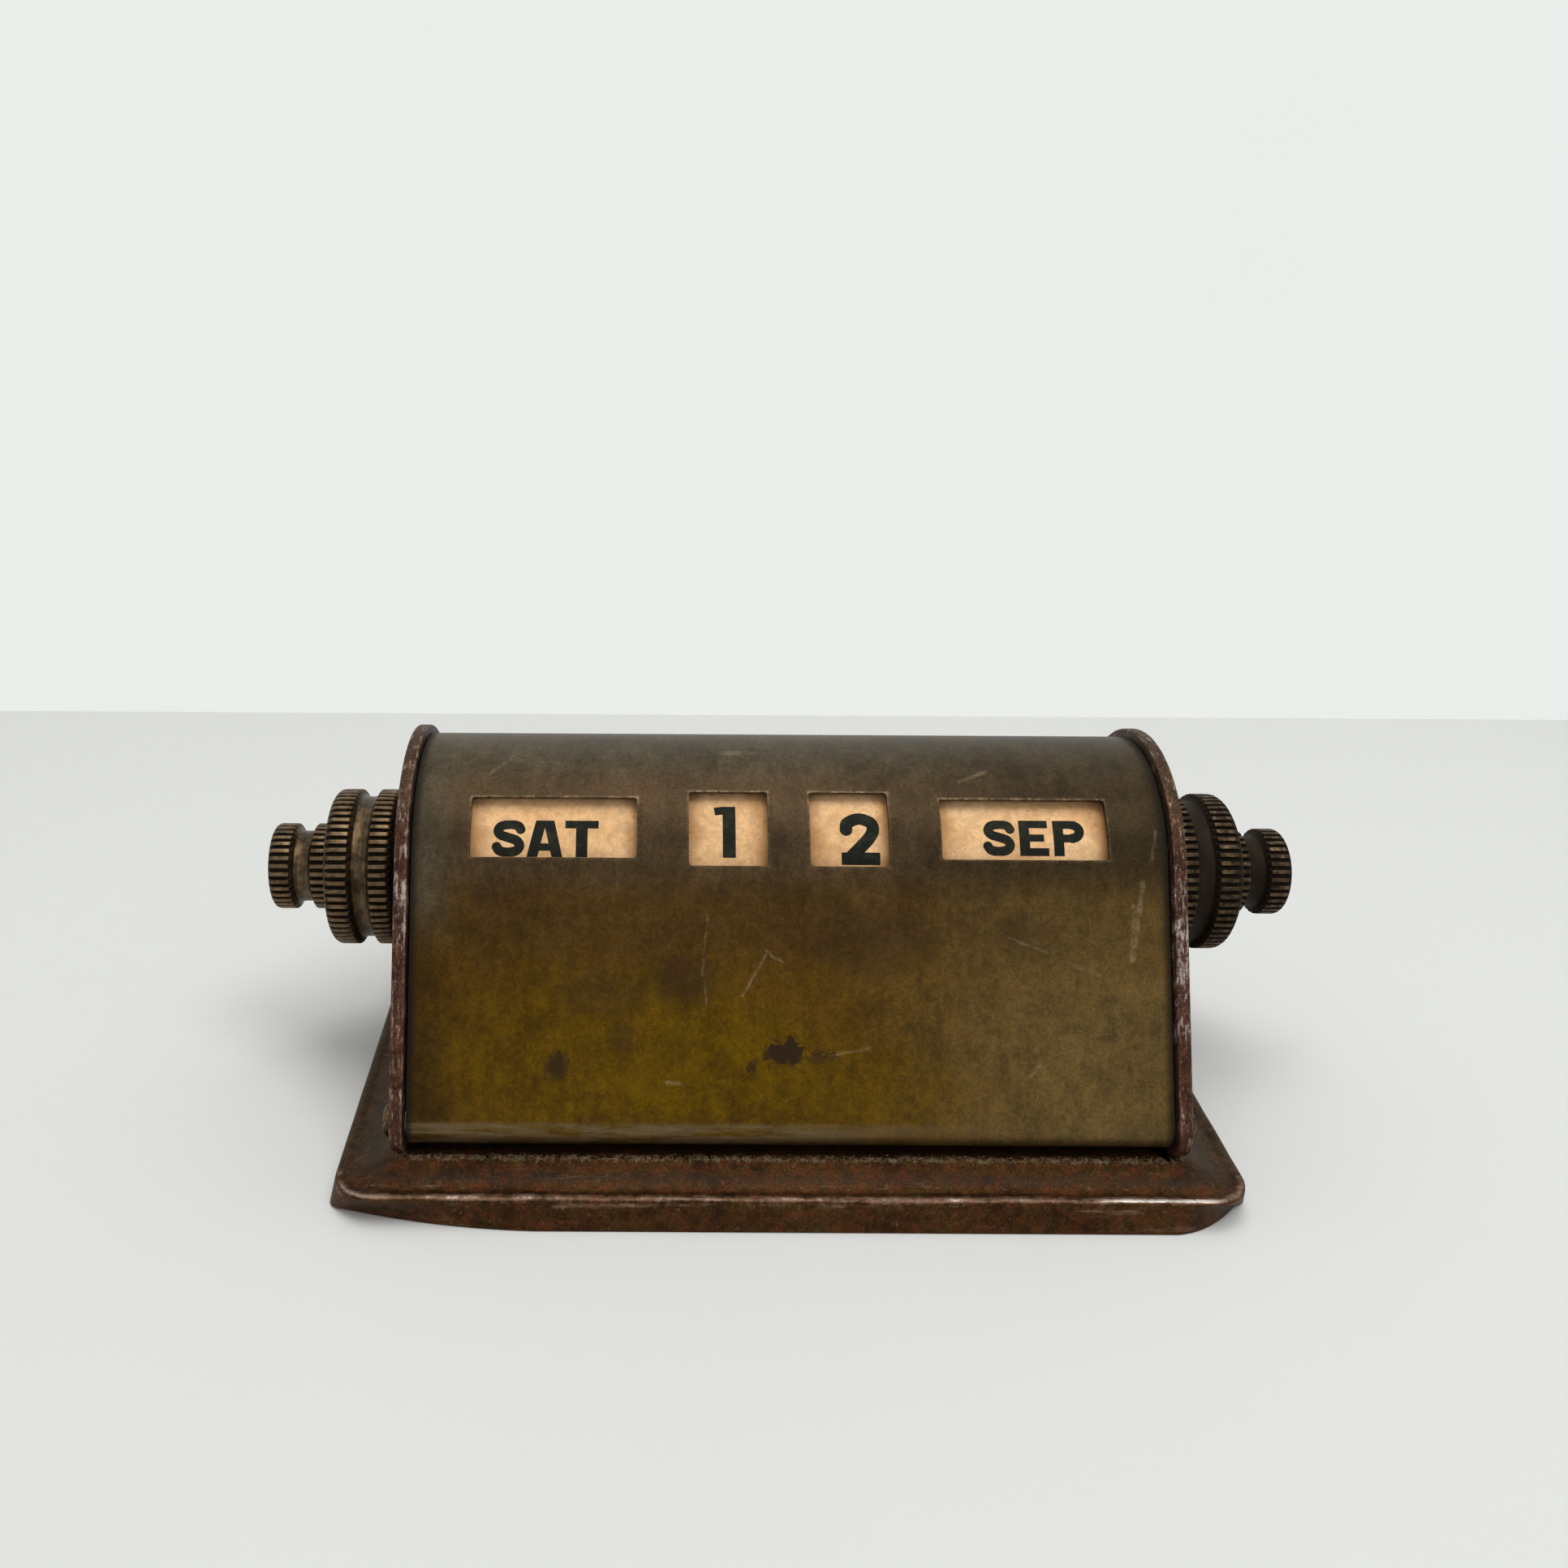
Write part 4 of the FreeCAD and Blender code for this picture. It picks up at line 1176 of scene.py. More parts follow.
@dataclass
class BaseCasting:
    """The moulded base: swept foot, worn ridge, hollow cove and the flat under the case."""

    half_width: float = 66.8
    left_trim: float = 0.45
    front: float = -36.492
    back: float = 36.492
    foot_corner: float = 1.4
    left_run: float = 30.0
    left_setback: float = 4.5
    right_run: float = 12.0
    right_setback: float = 6.3
    lean: float = 1.08
    shoulder_z: float = 4.5
    ridge_corner: float = 6.0
    channel_inset: float = 2.9
    channel_z: float = 4.72
    dais_z: float = 7.4
    front_cove: float = 6.8
    side_cove: float = 9.3
    cove_power: float = 1.85
    dent: float = 0.16
    pad_half_width: float = 58.8
    pad_half_depth: float = 28.492
    pad_depth: float = 1.0
    pad_corner: float = 4.0
    cove_steps: int = 12
    crest: tuple[Point, ...] = (
        (1.11, 4.55, 0.60), (1.20, 4.72, 0.80), (1.36, 4.85, 0.95), (1.60, 4.93, 1.0),
        (1.90, 4.95, 0.95), (2.25, 4.91, 0.75), (2.60, 4.82, 0.5), (2.90, 4.72, 0.3),
    )

    def outline(
        self, z: float, along: float, across: float, corner: float, swept: float = 0.0
    ) -> list[Point]:
        """One closed plan line of the base.

        Args:
            z: Its height.
            along: How far it lies inside the foot at the front and the back.
            across: How far it lies inside the foot at the sides.
            corner: The radius of its corners.
            swept: How much of the foot's sweeps it has, from 0 to 1.

        Returns:
            Its points, always as many.
        """
        left, right = -self.half_width + self.left_trim + across, self.half_width - across
        front, back = self.front + along, self.back - along
        left_back, right_back = self.left_setback * swept, self.right_setback * swept
        def bowed(start: Flat, end: Flat, steps: int) -> list[Flat]:
            """A bowed sweep without its last point."""
            bow = abs(end[1] - start[1]) * 0.2
            parts = [step / steps for step in range(steps)]
            row = zip(straight(start, end, steps), parts)
            return [(x, y - 4.0 * part * (1.0 - part) * bow) for (x, y), part in row]

        def quarter(centre: Flat, start: float) -> list[Flat]:
            """A quarter turn without its last point."""
            return arc(centre, corner, start, start + 90.0, 10)[:-1]

        nose_right = (right - corner, front + right_back)
        nose_left = (left + corner, front + left_back)
        start_right = (self.half_width - self.right_run, front)
        start_left = (left - across + self.left_run, front)
        low_right, low_left = front + right_back + corner, front + left_back + corner
        flat = straight(start_left, start_right, 36)
        flat += bowed(start_right, nose_right, 12)
        flat += quarter((right - corner, low_right), -90.0)
        flat += straight((right, low_right), (right, back - corner), 28)
        flat += quarter((right - corner, back - corner), 0.0)
        flat += straight((right - corner, back), (left + corner, back), 48)
        flat += quarter((left + corner, back - corner), 90.0)
        flat += straight((left, back - corner), (left, low_left), 28)
        flat += quarter((left + corner, low_left), 180.0)
        flat += bowed(nose_left, start_left, 16)
        return [(x, y, z) for x, y in flat]

    @staticmethod
    def between(first: Sequence[Point], second: Sequence[Point], part: float) -> list[Point]:
        """The line that lies a part of the way from one plan line to another."""
        pairs = zip(first, second)
        return [tuple(a + (b - a) * part for a, b in zip(start, end)) for start, end in pairs]

    def build(self) -> bpy.types.Object:
        """Make the casting.

        Returns:
            The object.
        """
        skin = Skin()
        foot = self.outline(0.0, 0.0, 0.0, self.foot_corner, 1.0)
        shoulder = self.outline(self.shoulder_z, self.lean, self.lean, self.ridge_corner)
        rings = [
            skin.ring(self.outline(0.0, 0.35, 0.35, self.foot_corner, 1.0)),
            skin.ring(self.outline(0.10, 0.10, 0.10, self.foot_corner, 1.0), wear=0.25),
        ]
        for z, wear in ((0.35, 0.4), (0.9, 0.25), (1.7, 0.2), (2.6, 0.25), (3.4, 0.4), (4.1, 0.6)):
            rings.append(skin.ring(self.between(foot, shoulder, z / self.shoulder_z), wear=wear))
        for inset, z, wear in self.crest:
            line = self.outline(z, inset, inset, self.ridge_corner - (inset - self.lean))
            dented = ((x, y, z + self.dent * wear * self.handled(x, y)) for x, y, _ in line)
            rings.append(skin.ring(dented, wear=wear))
        inset = self.channel_inset
        low = self.outline(self.channel_z, inset, inset, self.ridge_corner - 1.8)
        high = self.outline(self.channel_z, self.front_cove, self.side_cove, 3.0)
        for step in range(1, self.cove_steps + 1):
            part = step / self.cove_steps
            height = (self.dais_z - self.channel_z) * part**self.cove_power
            flat = [(x, y, self.channel_z + height) for x, y, _ in self.between(low, high, part)]
            dust = max(0.0, (part - 0.62) / 0.38)
            # Painted shade in the middle of the cove's hollow.
            grime = 0.45 * max(0.0, 1.0 - abs(part - 0.5) / 0.28)
            rings.append(skin.ring(flat, dust=dust, wear=0.6 * (1.0 - part) ** 2, grime=grime))
        # The edge of the flat under the case gets dust; the flat further in gets painted shade.
        for further, corner, marks in ((0.5, 2.6, {"dust": 1.0}), (3.0, 2.0, {"grime": 0.6})):
            along, across = self.front_cove + further, self.side_cove + further
            rings.append(skin.ring(self.outline(self.dais_z, along, across, corner), **marks))
        skin.loft(rings)
        skin.cap(rings[-1])
        self._grey_sides(skin)
        self._underside(skin, rings[0])
        return Bench.lay("moulded_base", skin.mesh("moulded_base"))

    @staticmethod
    def handled(x: float, y: float) -> float:
        """How far knocks have pressed the ridge down at a place, from -1 to 0."""
        waves = math.sin(0.37 * x + 0.5 * y) + 0.7 * math.sin(0.83 * x - 0.6 * y - 1.3)
        waves += 0.5 * math.sin(1.9 * x + 1.3 * y + 0.7)
        return 0.5 * (waves / 2.2 - 1.0)

    def _grey_sides(self, skin: Skin) -> None:
        """Mark the two sloping sides, which are greyer than the front."""
        greyed = {
            number: min(1.0, max(0.0, (abs(x) - 56.0) / 3.0)) * min(1.0, max(0.0, (y + 33.0) / 7.0))
            for number, (x, y, z) in enumerate(skin.points)
            if z > 0.3
        }
        skin.marks["greyed"] = greyed
        wear = skin.marks["wear"]
        for number, part in greyed.items():
            if number in wear:
                wear[number] *= 1.0 - 0.6 * part

    def _underside(self, skin: Skin, foot: Sequence[int]) -> None:
        """Close the casting from below, with the recess for the pad.

        Args:
            skin: The casting's skin.
            foot: The lowest row of the foot.
        """
        box = rounded_box((self.pad_half_width, self.pad_half_depth), self.pad_corner, 8)
        # The recess's rim gets painted shade.
        rim, roof = (
            skin.ring(((x, y, z) for x, y in box), grime=0.5) for z in (0.0, self.pad_depth)
        )
        skin.plate_with_holes(foot, [rim])
        skin.bridge(rim, roof)
        skin.cap(roof)

    def dress(self, finishes: Finishes) -> None:
        """Build the casting and tie it to the model."""
        Bench.finish(self.build(), "case", [finishes.brown], Slot.BASE, ["base_casting"], 50.0)


@dataclass
class EndPlates:
    """The two end plates, with the worn rim that stands proud of the cover."""

    inner_x: float = 55.0
    thickness: float = 2.0
    nose_radius: float = 3.8
    heel_radius: float = 2.0
    bottom_z: float = 7.4
    arris: float = 0.38
    bore: float = 5.02
    screw_bore: float = 1.35
    foot_length: float = 9.0
    foot_front: float = 25.0
    foot_back: float = 13.0
    foot_thickness: float = 2.0

    def outline(self, inset: float) -> list[Flat]:
        """The plate's outline in the side view.

        Args:
            inset: How far it lies inside the plate's edge.

        Returns:
            Its points.
        """
        heel = self.heel_radius
        nose_middle = (LINES.axis_y - LINES.nose_reach + 0.2, self.bottom_z + self.nose_radius)
        heel_middle = (LINES.axis_y + LINES.plate_radius - heel, self.bottom_z + heel)
        path = linked((
            arc(LINES.axis, LINES.plate_radius - inset, 0.0, LINES.normal, 72),
            arc(nose_middle, self.nose_radius - inset, LINES.normal, 270.0, 16),
            arc(heel_middle, heel - inset, -90.0, 0.0, 8),
        ), (16, 8))
        return path + straight(path[-1], path[0], 8)[1:]

    def build(self, side: Side) -> bpy.types.Object:
        """Make one plate.

        Args:
            side: Which end of the case it closes.

        Returns:
            The object.
        """
        skin = Skin()
        # Each row of the rounded edge: inset, inward share, wear, and painted shade on the inner face
        # beside the cover.
        round_over = (
            (1.0, 0.0, 0.2, 0.5), (0.62, 0.08, 0.5, 0.3), (0.29, 0.29, 0.8, 0.1),
            (0.08, 0.62, 0.8, 0.0), (0.0, 1.0, 0.6, 0.0),
        )
        rings = []
        for inset, inward, wear, grime in round_over:
            path, x = self.outline(inset * self.arris), self.inner_x + inward * self.arris
            rings.append(self._ring(skin, side, x, path, wear=wear, grime=grime * 0.8))
        outer_x = self.inner_x + self.thickness
        middle_x = self.inner_x + self.thickness / 2
        rings.append(self._ring(skin, side, middle_x, self.outline(0.0), wear=0.42))
        for inset, inward, wear, _ in reversed(round_over):
            path, x = self.outline(inset * self.arris), outer_x - inward * self.arris
            rings.append(self._ring(skin, side, x, path, wear=wear))
        skin.loft(rings)
        bores = (
            arc(LINES.axis, self.bore, 0.0, 360.0, 64)[:-1],
            arc((LINES.front_bar_y, LINES.bar_z), self.screw_bore, 0.0, 360.0, 20)[:-1],
            arc((LINES.rear_bar_y, LINES.bar_z), self.screw_bore, 0.0, 360.0, 20)[:-1],
        )
        inner = [self._ring(skin, side, self.inner_x, bore) for bore in bores]
        outer = [self._ring(skin, side, outer_x, bore) for bore in bores]
        skin.plate_with_holes(rings[0], inner)
        skin.plate_with_holes(rings[-1], outer)
        for near, far in zip(inner, outer):
            skin.bridge(near, far)
        self._foot(skin, side)
        name = side.name.lower() + "_worn_end_plate"
        return Bench.lay(name, skin.mesh(name))

    def _ring(
        self, skin: Skin, side: Side, x: float, path: Sequence[Flat], **marks: float
    ) -> list[int]:
        """Add a side-view line at a place along X."""
        return skin.ring(((side.value * x, y, z) for y, z in path), **marks)

    def _foot(self, skin: Skin, side: Side) -> None:
        """Add the flange that is bent inwards at the bottom and screwed to the base."""
        front, back = LINES.axis_y - self.foot_front, LINES.axis_y + self.foot_back
        corner = 1.5
        start, end = self.inner_x - self.foot_length, self.inner_x + 0.2
        plan = [
            (end, front), (start + corner, front), (start, front + corner),
            (start, back - corner), (start + corner, back), (end, back),
        ]
        heights = (self.bottom_z + 0.01, self.bottom_z + self.foot_thickness)
        skin.block(*([(side.value * x, y, z) for x, y in plan] for z in heights))

    def dress(self, finishes: Finishes) -> None:
        """Build both plates and tie them to the model."""
        for side in Side:
            node = side.name.lower() + "_end_plate"
            Bench.finish(self.build(side), "case", [finishes.brown], Slot.BASE, [node], 50.0)


@dataclass
class CoverSheet:
    """The bent cover: one sheet with four punched windows and rolled lower edges."""

    half_length: float = 54.7
    thickness: float = 0.8
    wrap: float = 200.0
    wide_x: float = 34.2
    wide_size: Flat = (24.2, 9.2)
    digit_x: float = 8.8
    digit_size: Flat = (11.5, 11.3)
    corner: float = 0.5
    edge: float = 0.09
    columns: int = 26

    def outline(self) -> list[Flat]:
        """The sheet's closed outline in the side view, outside first.

        Returns:
            Its points.
        """
        thick = self.thickness
        front, back = (LINES.front_bar_y, LINES.bar_z), (LINES.rear_bar_y, LINES.bar_z)
        normal, curl, radius = LINES.normal, LINES.curl_radius, LINES.cover_radius
        outer = linked((
            arc(front, curl, normal + self.wrap, normal, 30),
            arc(LINES.axis, radius, normal, 0.0, 100),
            arc(back, curl, 0.0, -self.wrap, 30),
        ), (10, 10))
        inner = linked((
            arc(back, curl - thick, -self.wrap, 0.0, 30),
            arc(LINES.axis, radius - thick, 0.0, normal, 100),
            arc(front, curl - thick, normal, normal + self.wrap, 30),
        ), (10, 10))
        return outer + inner

    def punch(self, centre: float, size: Flat) -> Skin:
        """The rounded block that one window is punched with.

        Args:
            centre: The window's middle along X.
            size: Its width and height.

        Returns:
            The block.
        """
        turn = math.radians(LINES.window_elevation)
        out, up = (-math.cos(turn), math.sin(turn)), (math.sin(turn), math.cos(turn))
        (y, z), box = LINES.axis, rounded_box((size[0] / 2, size[1] / 2), self.corner, 6)
        return Skin().block(*(
            [
                (centre + x, y + out[0] * reach + up[0] * v, z + out[1] * reach + up[1] * v)
                for x, v in box
            ]
            for reach in (10.0, 30.0)
        ))

    def build(self) -> bpy.types.Object:
        """Bend the sheet, punch its windows and break its edges.

        Returns:
            The object.
        """
        skin = Skin()
        path = self.outline()
        rings = []
        for column in range(self.columns + 1):
            x = -self.half_length + 2.0 * self.half_length * column / self.columns
            rings.append(skin.ring((x, y, z) for y, z in path))
        skin.loft(rings)
        half = len(path) // 2
        for ring in (rings[0], rings[-1]):
            for step in range(half - 1):
                mirror = len(path) - 1 - step
                skin.faces.append([ring[step], ring[step + 1], ring[mirror - 1], ring[mirror]])
        piece = Bench.lay("windowed_cover", skin.mesh("windowed_cover"))
        windows = (
            (-self.wide_x, self.wide_size), (self.wide_x, self.wide_size),
            (-self.digit_x, self.digit_size), (self.digit_x, self.digit_size),
        )
        Bench.cut(piece, [self.punch(*window) for window in windows], self.edge, 3, 42.0)
        return piece

    def dress(self, finishes: Finishes) -> None:
        """Build the cover and tie it to the model."""
        Bench.finish(self.build(), "case", [finishes.cover], Slot.COVER, ["cover_shell"])


# Lettering


@dataclass(frozen=True)
class Glyph:
    """One letter or digit, drawn as strokes in parts of its height."""

    width: float
    bars: tuple[tuple[Flat, Flat, float], ...] = ()
    curves: tuple[tuple[Flat, ...], ...] = ()
    rounds: tuple[tuple[Flat, Flat, float, float], ...] = ()
    weight: float = 0.26


STEM = 0.28
UPRIGHT = ((0.125, -0.1), (0.125, 1.1), STEM)
BOWL = ((0.47, 0.6875), (0.235, 0.195), 90.0, -90.0)
TOP_BAR = ((0.0, 0.8825), (0.48, 0.8825), 0.235)
LOW_BAR = ((0.0, 0.4925), (0.48, 0.4925), 0.225)
SIX = (
    (0.635, 0.775), (0.52, 0.868), (0.36, 0.872), (0.20, 0.745), (0.125, 0.49),
    (0.165, 0.24), (0.37, 0.118), (0.575, 0.20), (0.63, 0.345), (0.56, 0.495),
    (0.38, 0.555), (0.21, 0.475), (0.14, 0.34),
)
GLYPHS: dict[str, Glyph] = {
    "A": Glyph(0.94, (
        ((0.115, -0.1), (0.395, 1.1), STEM), ((0.825, -0.1), (0.545, 1.1), STEM),
        ((0.2, 0.265), (0.74, 0.265), 0.2), ((0.36, 0.93), (0.58, 0.93), 0.14),
    )),
    "B": Glyph(0.84, (
        UPRIGHT, ((0.0, 0.8825), (0.45, 0.8825), 0.235), ((0.0, 0.51), (0.48, 0.51), 0.19),
        ((0.0, 0.1175), (0.48, 0.1175), 0.235),
    ), (), (
        ((0.44, 0.7), (0.235, 0.1825), 90.0, -90.0),
        ((0.46, 0.31), (0.255, 0.1925), 90.0, -90.0),
    )),
    "C": Glyph(0.90, (), (), (((0.485, 0.5), (0.36, 0.38), 48.0, 312.0),)),
    "D": Glyph(0.90, (
        UPRIGHT, ((0.0, 0.88), (0.44, 0.88), 0.24), ((0.0, 0.12), (0.44, 0.12), 0.24),
    ), (), (((0.43, 0.5), (0.345, 0.38), 90.0, -90.0),)),
    "E": Glyph(0.78, (
        UPRIGHT, ((0.0, 0.89), (0.77, 0.89), 0.22), ((0.0, 0.5), (0.66, 0.5), 0.205),
        ((0.0, 0.11), (0.78, 0.11), 0.22),
    )),
    "F": Glyph(0.74, (
        UPRIGHT, ((0.0, 0.89), (0.74, 0.89), 0.22), ((0.0, 0.48), (0.64, 0.48), 0.21),
    )),
    "G": Glyph(0.96, (
        ((0.5, 0.43), (0.93, 0.43), 0.2), ((0.83, 0.5), (0.83, 0.08), 0.2),
    ), (), (((0.485, 0.5), (0.36, 0.38), 48.0, 320.0),)),
    "H": Glyph(0.88, (UPRIGHT, ((0.755, -0.1), (0.755, 1.1), STEM), ((0.1, 0.5), (0.78, 0.5), 0.215))),
    "I": Glyph(0.25, (UPRIGHT,)),
    "J": Glyph(0.64, (((0.515, 1.1), (0.515, 0.33), STEM),), (), (
        ((0.315, 0.33), (0.2, 0.21), 0.0, -180.0),
    )),
    "L": Glyph(0.70, (UPRIGHT, ((0.0, 0.11), (0.70, 0.11), 0.22))),
    "M": Glyph(1.08, (
        UPRIGHT, ((0.955, -0.1), (0.955, 1.1), STEM), ((0.1, 1.1), (0.54, 0.1), 0.21),
        ((0.98, 1.1), (0.54, 0.1), 0.21),
    )),
    "N": Glyph(0.88, (
        UPRIGHT, ((0.755, -0.1), (0.755, 1.1), STEM), ((0.1, 1.05), (0.78, -0.05), 0.215),
    )),
    "O": Glyph(0.98, (), (), (((0.49, 0.5), (0.365, 0.38), 0.0, 360.0),)),
    "P": Glyph(0.83, (UPRIGHT, TOP_BAR, LOW_BAR), (), (BOWL,)),
    "R": Glyph(0.86, (UPRIGHT, TOP_BAR, LOW_BAR, ((0.40, 0.52), (0.76, -0.1), 0.25)), (), (BOWL,)),
    "S": Glyph(0.84, (), ((
        (0.735, 0.735), (0.655, 0.845), (0.44, 0.882), (0.215, 0.835), (0.135, 0.705),
        (0.215, 0.585), (0.425, 0.515), (0.635, 0.435), (0.715, 0.295), (0.625, 0.165),
        (0.41, 0.118), (0.19, 0.16), (0.10, 0.275),
    ),)),
    "T": Glyph(0.89, (((0.0, 0.89), (0.89, 0.89), 0.22), ((0.445, -0.1), (0.445, 1.0), 0.31))),
    "U": Glyph(0.86, (
        ((0.125, 1.1), (0.125, 0.42), STEM), ((0.735, 1.1), (0.735, 0.42), STEM),
    ), (), (((0.43, 0.42), (0.305, 0.30), 180.0, 360.0),)),
    "V": Glyph(0.94, (((0.09, 1.1), (0.47, -0.02), STEM), ((0.85, 1.1), (0.47, -0.02), STEM))),
    "W": Glyph(1.26, (
        ((0.10, 1.1), (0.37, -0.05), 0.22), ((0.63, 1.02), (0.37, -0.05), 0.2),
        ((0.63, 1.02), (0.89, -0.05), 0.2), ((1.16, 1.1), (0.89, -0.05), 0.22),
    )),
    "Y": Glyph(0.92, (
        ((0.08, 1.1), (0.46, 0.44), STEM), ((0.84, 1.1), (0.46, 0.44), STEM),
        ((0.46, -0.1), (0.46, 0.5), STEM),
    )),
    "0": Glyph(0.76, (), (), (((0.38, 0.5), (0.258, 0.38), 0.0, 360.0),)),
    "1": Glyph(0.40, (((0.27, -0.1), (0.27, 1.1), 0.24), ((0.0, 0.895), (0.2, 0.925), 0.165))),
    "2": Glyph(0.75, (
        ((0.03, 0.118), (0.745, 0.118), 0.235),
    ), ((
        (0.125, 0.655), (0.155, 0.795), (0.365, 0.882), (0.575, 0.81), (0.625, 0.67),
        (0.555, 0.515), (0.40, 0.345), (0.255, 0.20), (0.14, 0.06),
    ),), (), 0.235),
    "3": Glyph(0.75, (), ((
        (0.12, 0.755), (0.21, 0.85), (0.375, 0.882), (0.56, 0.82), (0.60, 0.70),
        (0.52, 0.575), (0.36, 0.535), (0.30, 0.535),
    ), (
        (0.30, 0.535), (0.36, 0.535), (0.54, 0.47), (0.63, 0.335), (0.565, 0.175),
        (0.37, 0.118), (0.19, 0.16), (0.10, 0.275),
    ))),
    "4": Glyph(0.78, (
        ((0.53, -0.1), (0.53, 1.1), STEM), ((0.0, 0.275), (0.78, 0.275), 0.205),
        ((0.53, 1.03), (0.10, 0.27), 0.22),
    )),
    "5": Glyph(0.75, (
        ((0.15, 0.89), (0.69, 0.89), 0.22), ((0.215, 0.95), (0.165, 0.5), 0.2),
    ), ((
        (0.15, 0.50), (0.34, 0.575), (0.545, 0.52), (0.63, 0.355), (0.565, 0.18),
        (0.37, 0.118), (0.19, 0.155), (0.095, 0.255),
    ),)),
    "6": Glyph(0.76, (), (SIX,)),
    "7": Glyph(0.74, (((0.0, 0.89), (0.74, 0.89), 0.22), ((0.64, 0.92), (0.27, -0.1), 0.25))),
    "8": Glyph(0.76, (), (), (
        ((0.38, 0.705), (0.215, 0.178), 0.0, 360.0),
        ((0.38, 0.302), (0.255, 0.185), 0.0, 360.0),
    )),
    "9": Glyph(0.76, (), (tuple((0.76 - x, 1.0 - y) for x, y in SIX),)),
}


class PrintedAlphabet:
    """A bold plain alphabet: strokes are joined, cut off at the line and filled."""

    cell = 0.0125
    flatness = 0.0016
    strip = 0.09

    def __init__(self) -> None:
        """Start with no outlines drawn yet."""
        self.filled: dict[str, tuple[list[Flat], list[list[int]]]] = {}

    @staticmethod
    def eased(points: Sequence[Flat], steps: int = 10) -> list[Flat]:
        """A smooth line through the points.

        Args:
            points: The points it passes.
            steps: How many parts each stretch has.

        Returns:
            The line's own points.
        """
        ends = [points[0], *points, points[-1]]
        line: list[Flat] = []
        for before, start, end, after in zip(ends, ends[1:], ends[2:], ends[3:]):
            for step in range(steps):
                t = step / steps
                line.append(tuple(
                    0.5 * (
                        2 * b + (c - a) * t + (2 * a - 5 * b + 4 * c - d) * t * t
                        + (3 * b - a - 3 * c + d) * t**3
                    )
                    for a, b, c, d in zip(before, start, end, after)
                ))
        return line + [points[-1]]

    def runs(self, glyph: Glyph) -> list[tuple[list[Flat], float]]:
        """A glyph's strokes as lines with a thickness."""
        found = [([start, end], thick) for start, end, thick in glyph.bars]
        found += [(self.eased(curve), glyph.weight) for curve in glyph.curves]
        for centre, reach, start, end in glyph.rounds:
            turns = arc((0.0, 0.0), 1.0, start, end, max(12, int(abs(end - start) / 6)))
            line = [(centre[0] + reach[0] * x, centre[1] + reach[1] * y) for x, y in turns]
            found.append((line, glyph.weight))
        return found

    def distance(self, glyph: Glyph, x: np.ndarray, y: np.ndarray) -> np.ndarray:
        """How far each place lies outside the glyph; it is below zero inside.

        Args:
            glyph: The glyph.
            x: The places' x.
            y: The places' y.

        Returns:
            The distances.
        """
        best = np.full(x.shape, 9.0)
        soft = 0.012
        for line, thick in self.runs(glyph):
            half = thick / 2
            for start, end in zip(line, line[1:]):
                run = np.array(end) - np.array(start)
                length = float(np.hypot(*run))
                run = run / length
                along = (x - start[0]) * run[0] + (y - start[1]) * run[1]
                aside = np.abs((y - start[1]) * run[0] - (x - start[0]) * run[1])
                past = np.abs(along - length / 2) - length / 2 + soft
                beyond = aside - half + soft
                outside = np.hypot(np.maximum(past, 0), np.maximum(beyond, 0))
                best = np.minimum(best, outside + np.minimum(np.maximum(past, beyond), 0) - soft)
            for joint in line[1:-1]:
                best = np.minimum(best, np.hypot(x - joint[0], y - joint[1]) - half)
        return np.maximum(best, np.abs(y - 0.5) - 0.5)

    def loops(self, glyph: Glyph) -> list[list[Flat]]:
        """The closed outlines round and inside a glyph.

        Args:
            glyph: The glyph.

        Returns:
            Its outlines.
        """
        margin = 4 * self.cell
        xs = np.arange(-margin, glyph.width + margin + self.cell, self.cell)
        ys = np.arange(-margin, 1.0 + margin + self.cell, self.cell)
        grid_x, grid_y = np.meshgrid(xs, ys, indexing="ij")
        far = self.distance(glyph, grid_x, grid_y)
        follow: dict[tuple, tuple] = {}

        def crossing(i: int, j: int, k: int, m: int) -> tuple:
            """Where the outline crosses the line between two grid places."""
            return (min(i, k), min(j, m), i != k)

        for i, j in zip(*np.nonzero(self._mixed(far))):
            corners = ((i, j), (i + 1, j), (i + 1, j + 1), (i, j + 1))
            inside = [far[a, b] < 0 for a, b in corners]
            entries, exits = [], []
            for side in range(4):
                this, after = corners[side], corners[(side + 1) % 4]
                if inside[side] and not inside[(side + 1) % 4]:
                    exits.append(crossing(*this, *after))
                elif inside[(side + 1) % 4] and not inside[side]:
                    entries.append(crossing(*this, *after))
            for start, end in zip(exits, entries if len(entries) == 1 else entries[::-1]):
                follow[start] = end
        found = []
        while follow:
            start, step = next(iter(follow.items()))
            del follow[start]
            loop = [start]
            while step != start:
                loop.append(step)
                step = follow.pop(step)
            found.append([self._place(far, xs, ys, mark) for mark in loop])
        return [self._thinned(loop) for loop in found if len(loop) > 8]

    @staticmethod
    def _mixed(far: np.ndarray) -> np.ndarray:
        """Which grid cells the outline passes."""
        inside = far < 0
        stack = np.stack([inside[:-1, :-1], inside[1:, :-1], inside[1:, 1:], inside[:-1, 1:]])
        return stack.any(0) & ~stack.all(0)

    @staticmethod
    def _place(far: np.ndarray, xs: np.ndarray, ys: np.ndarray, mark: tuple) -> Flat:
        """The exact place of one crossing."""
        i, j, sideways = mark
        k, m = (i + 1, j) if sideways else (i, j + 1)
        part = far[i, j] / (far[i, j] - far[k, m])
        return (
            float(xs[i] + (xs[k] - xs[i]) * part), float(ys[j] + (ys[m] - ys[j]) * part)
        )

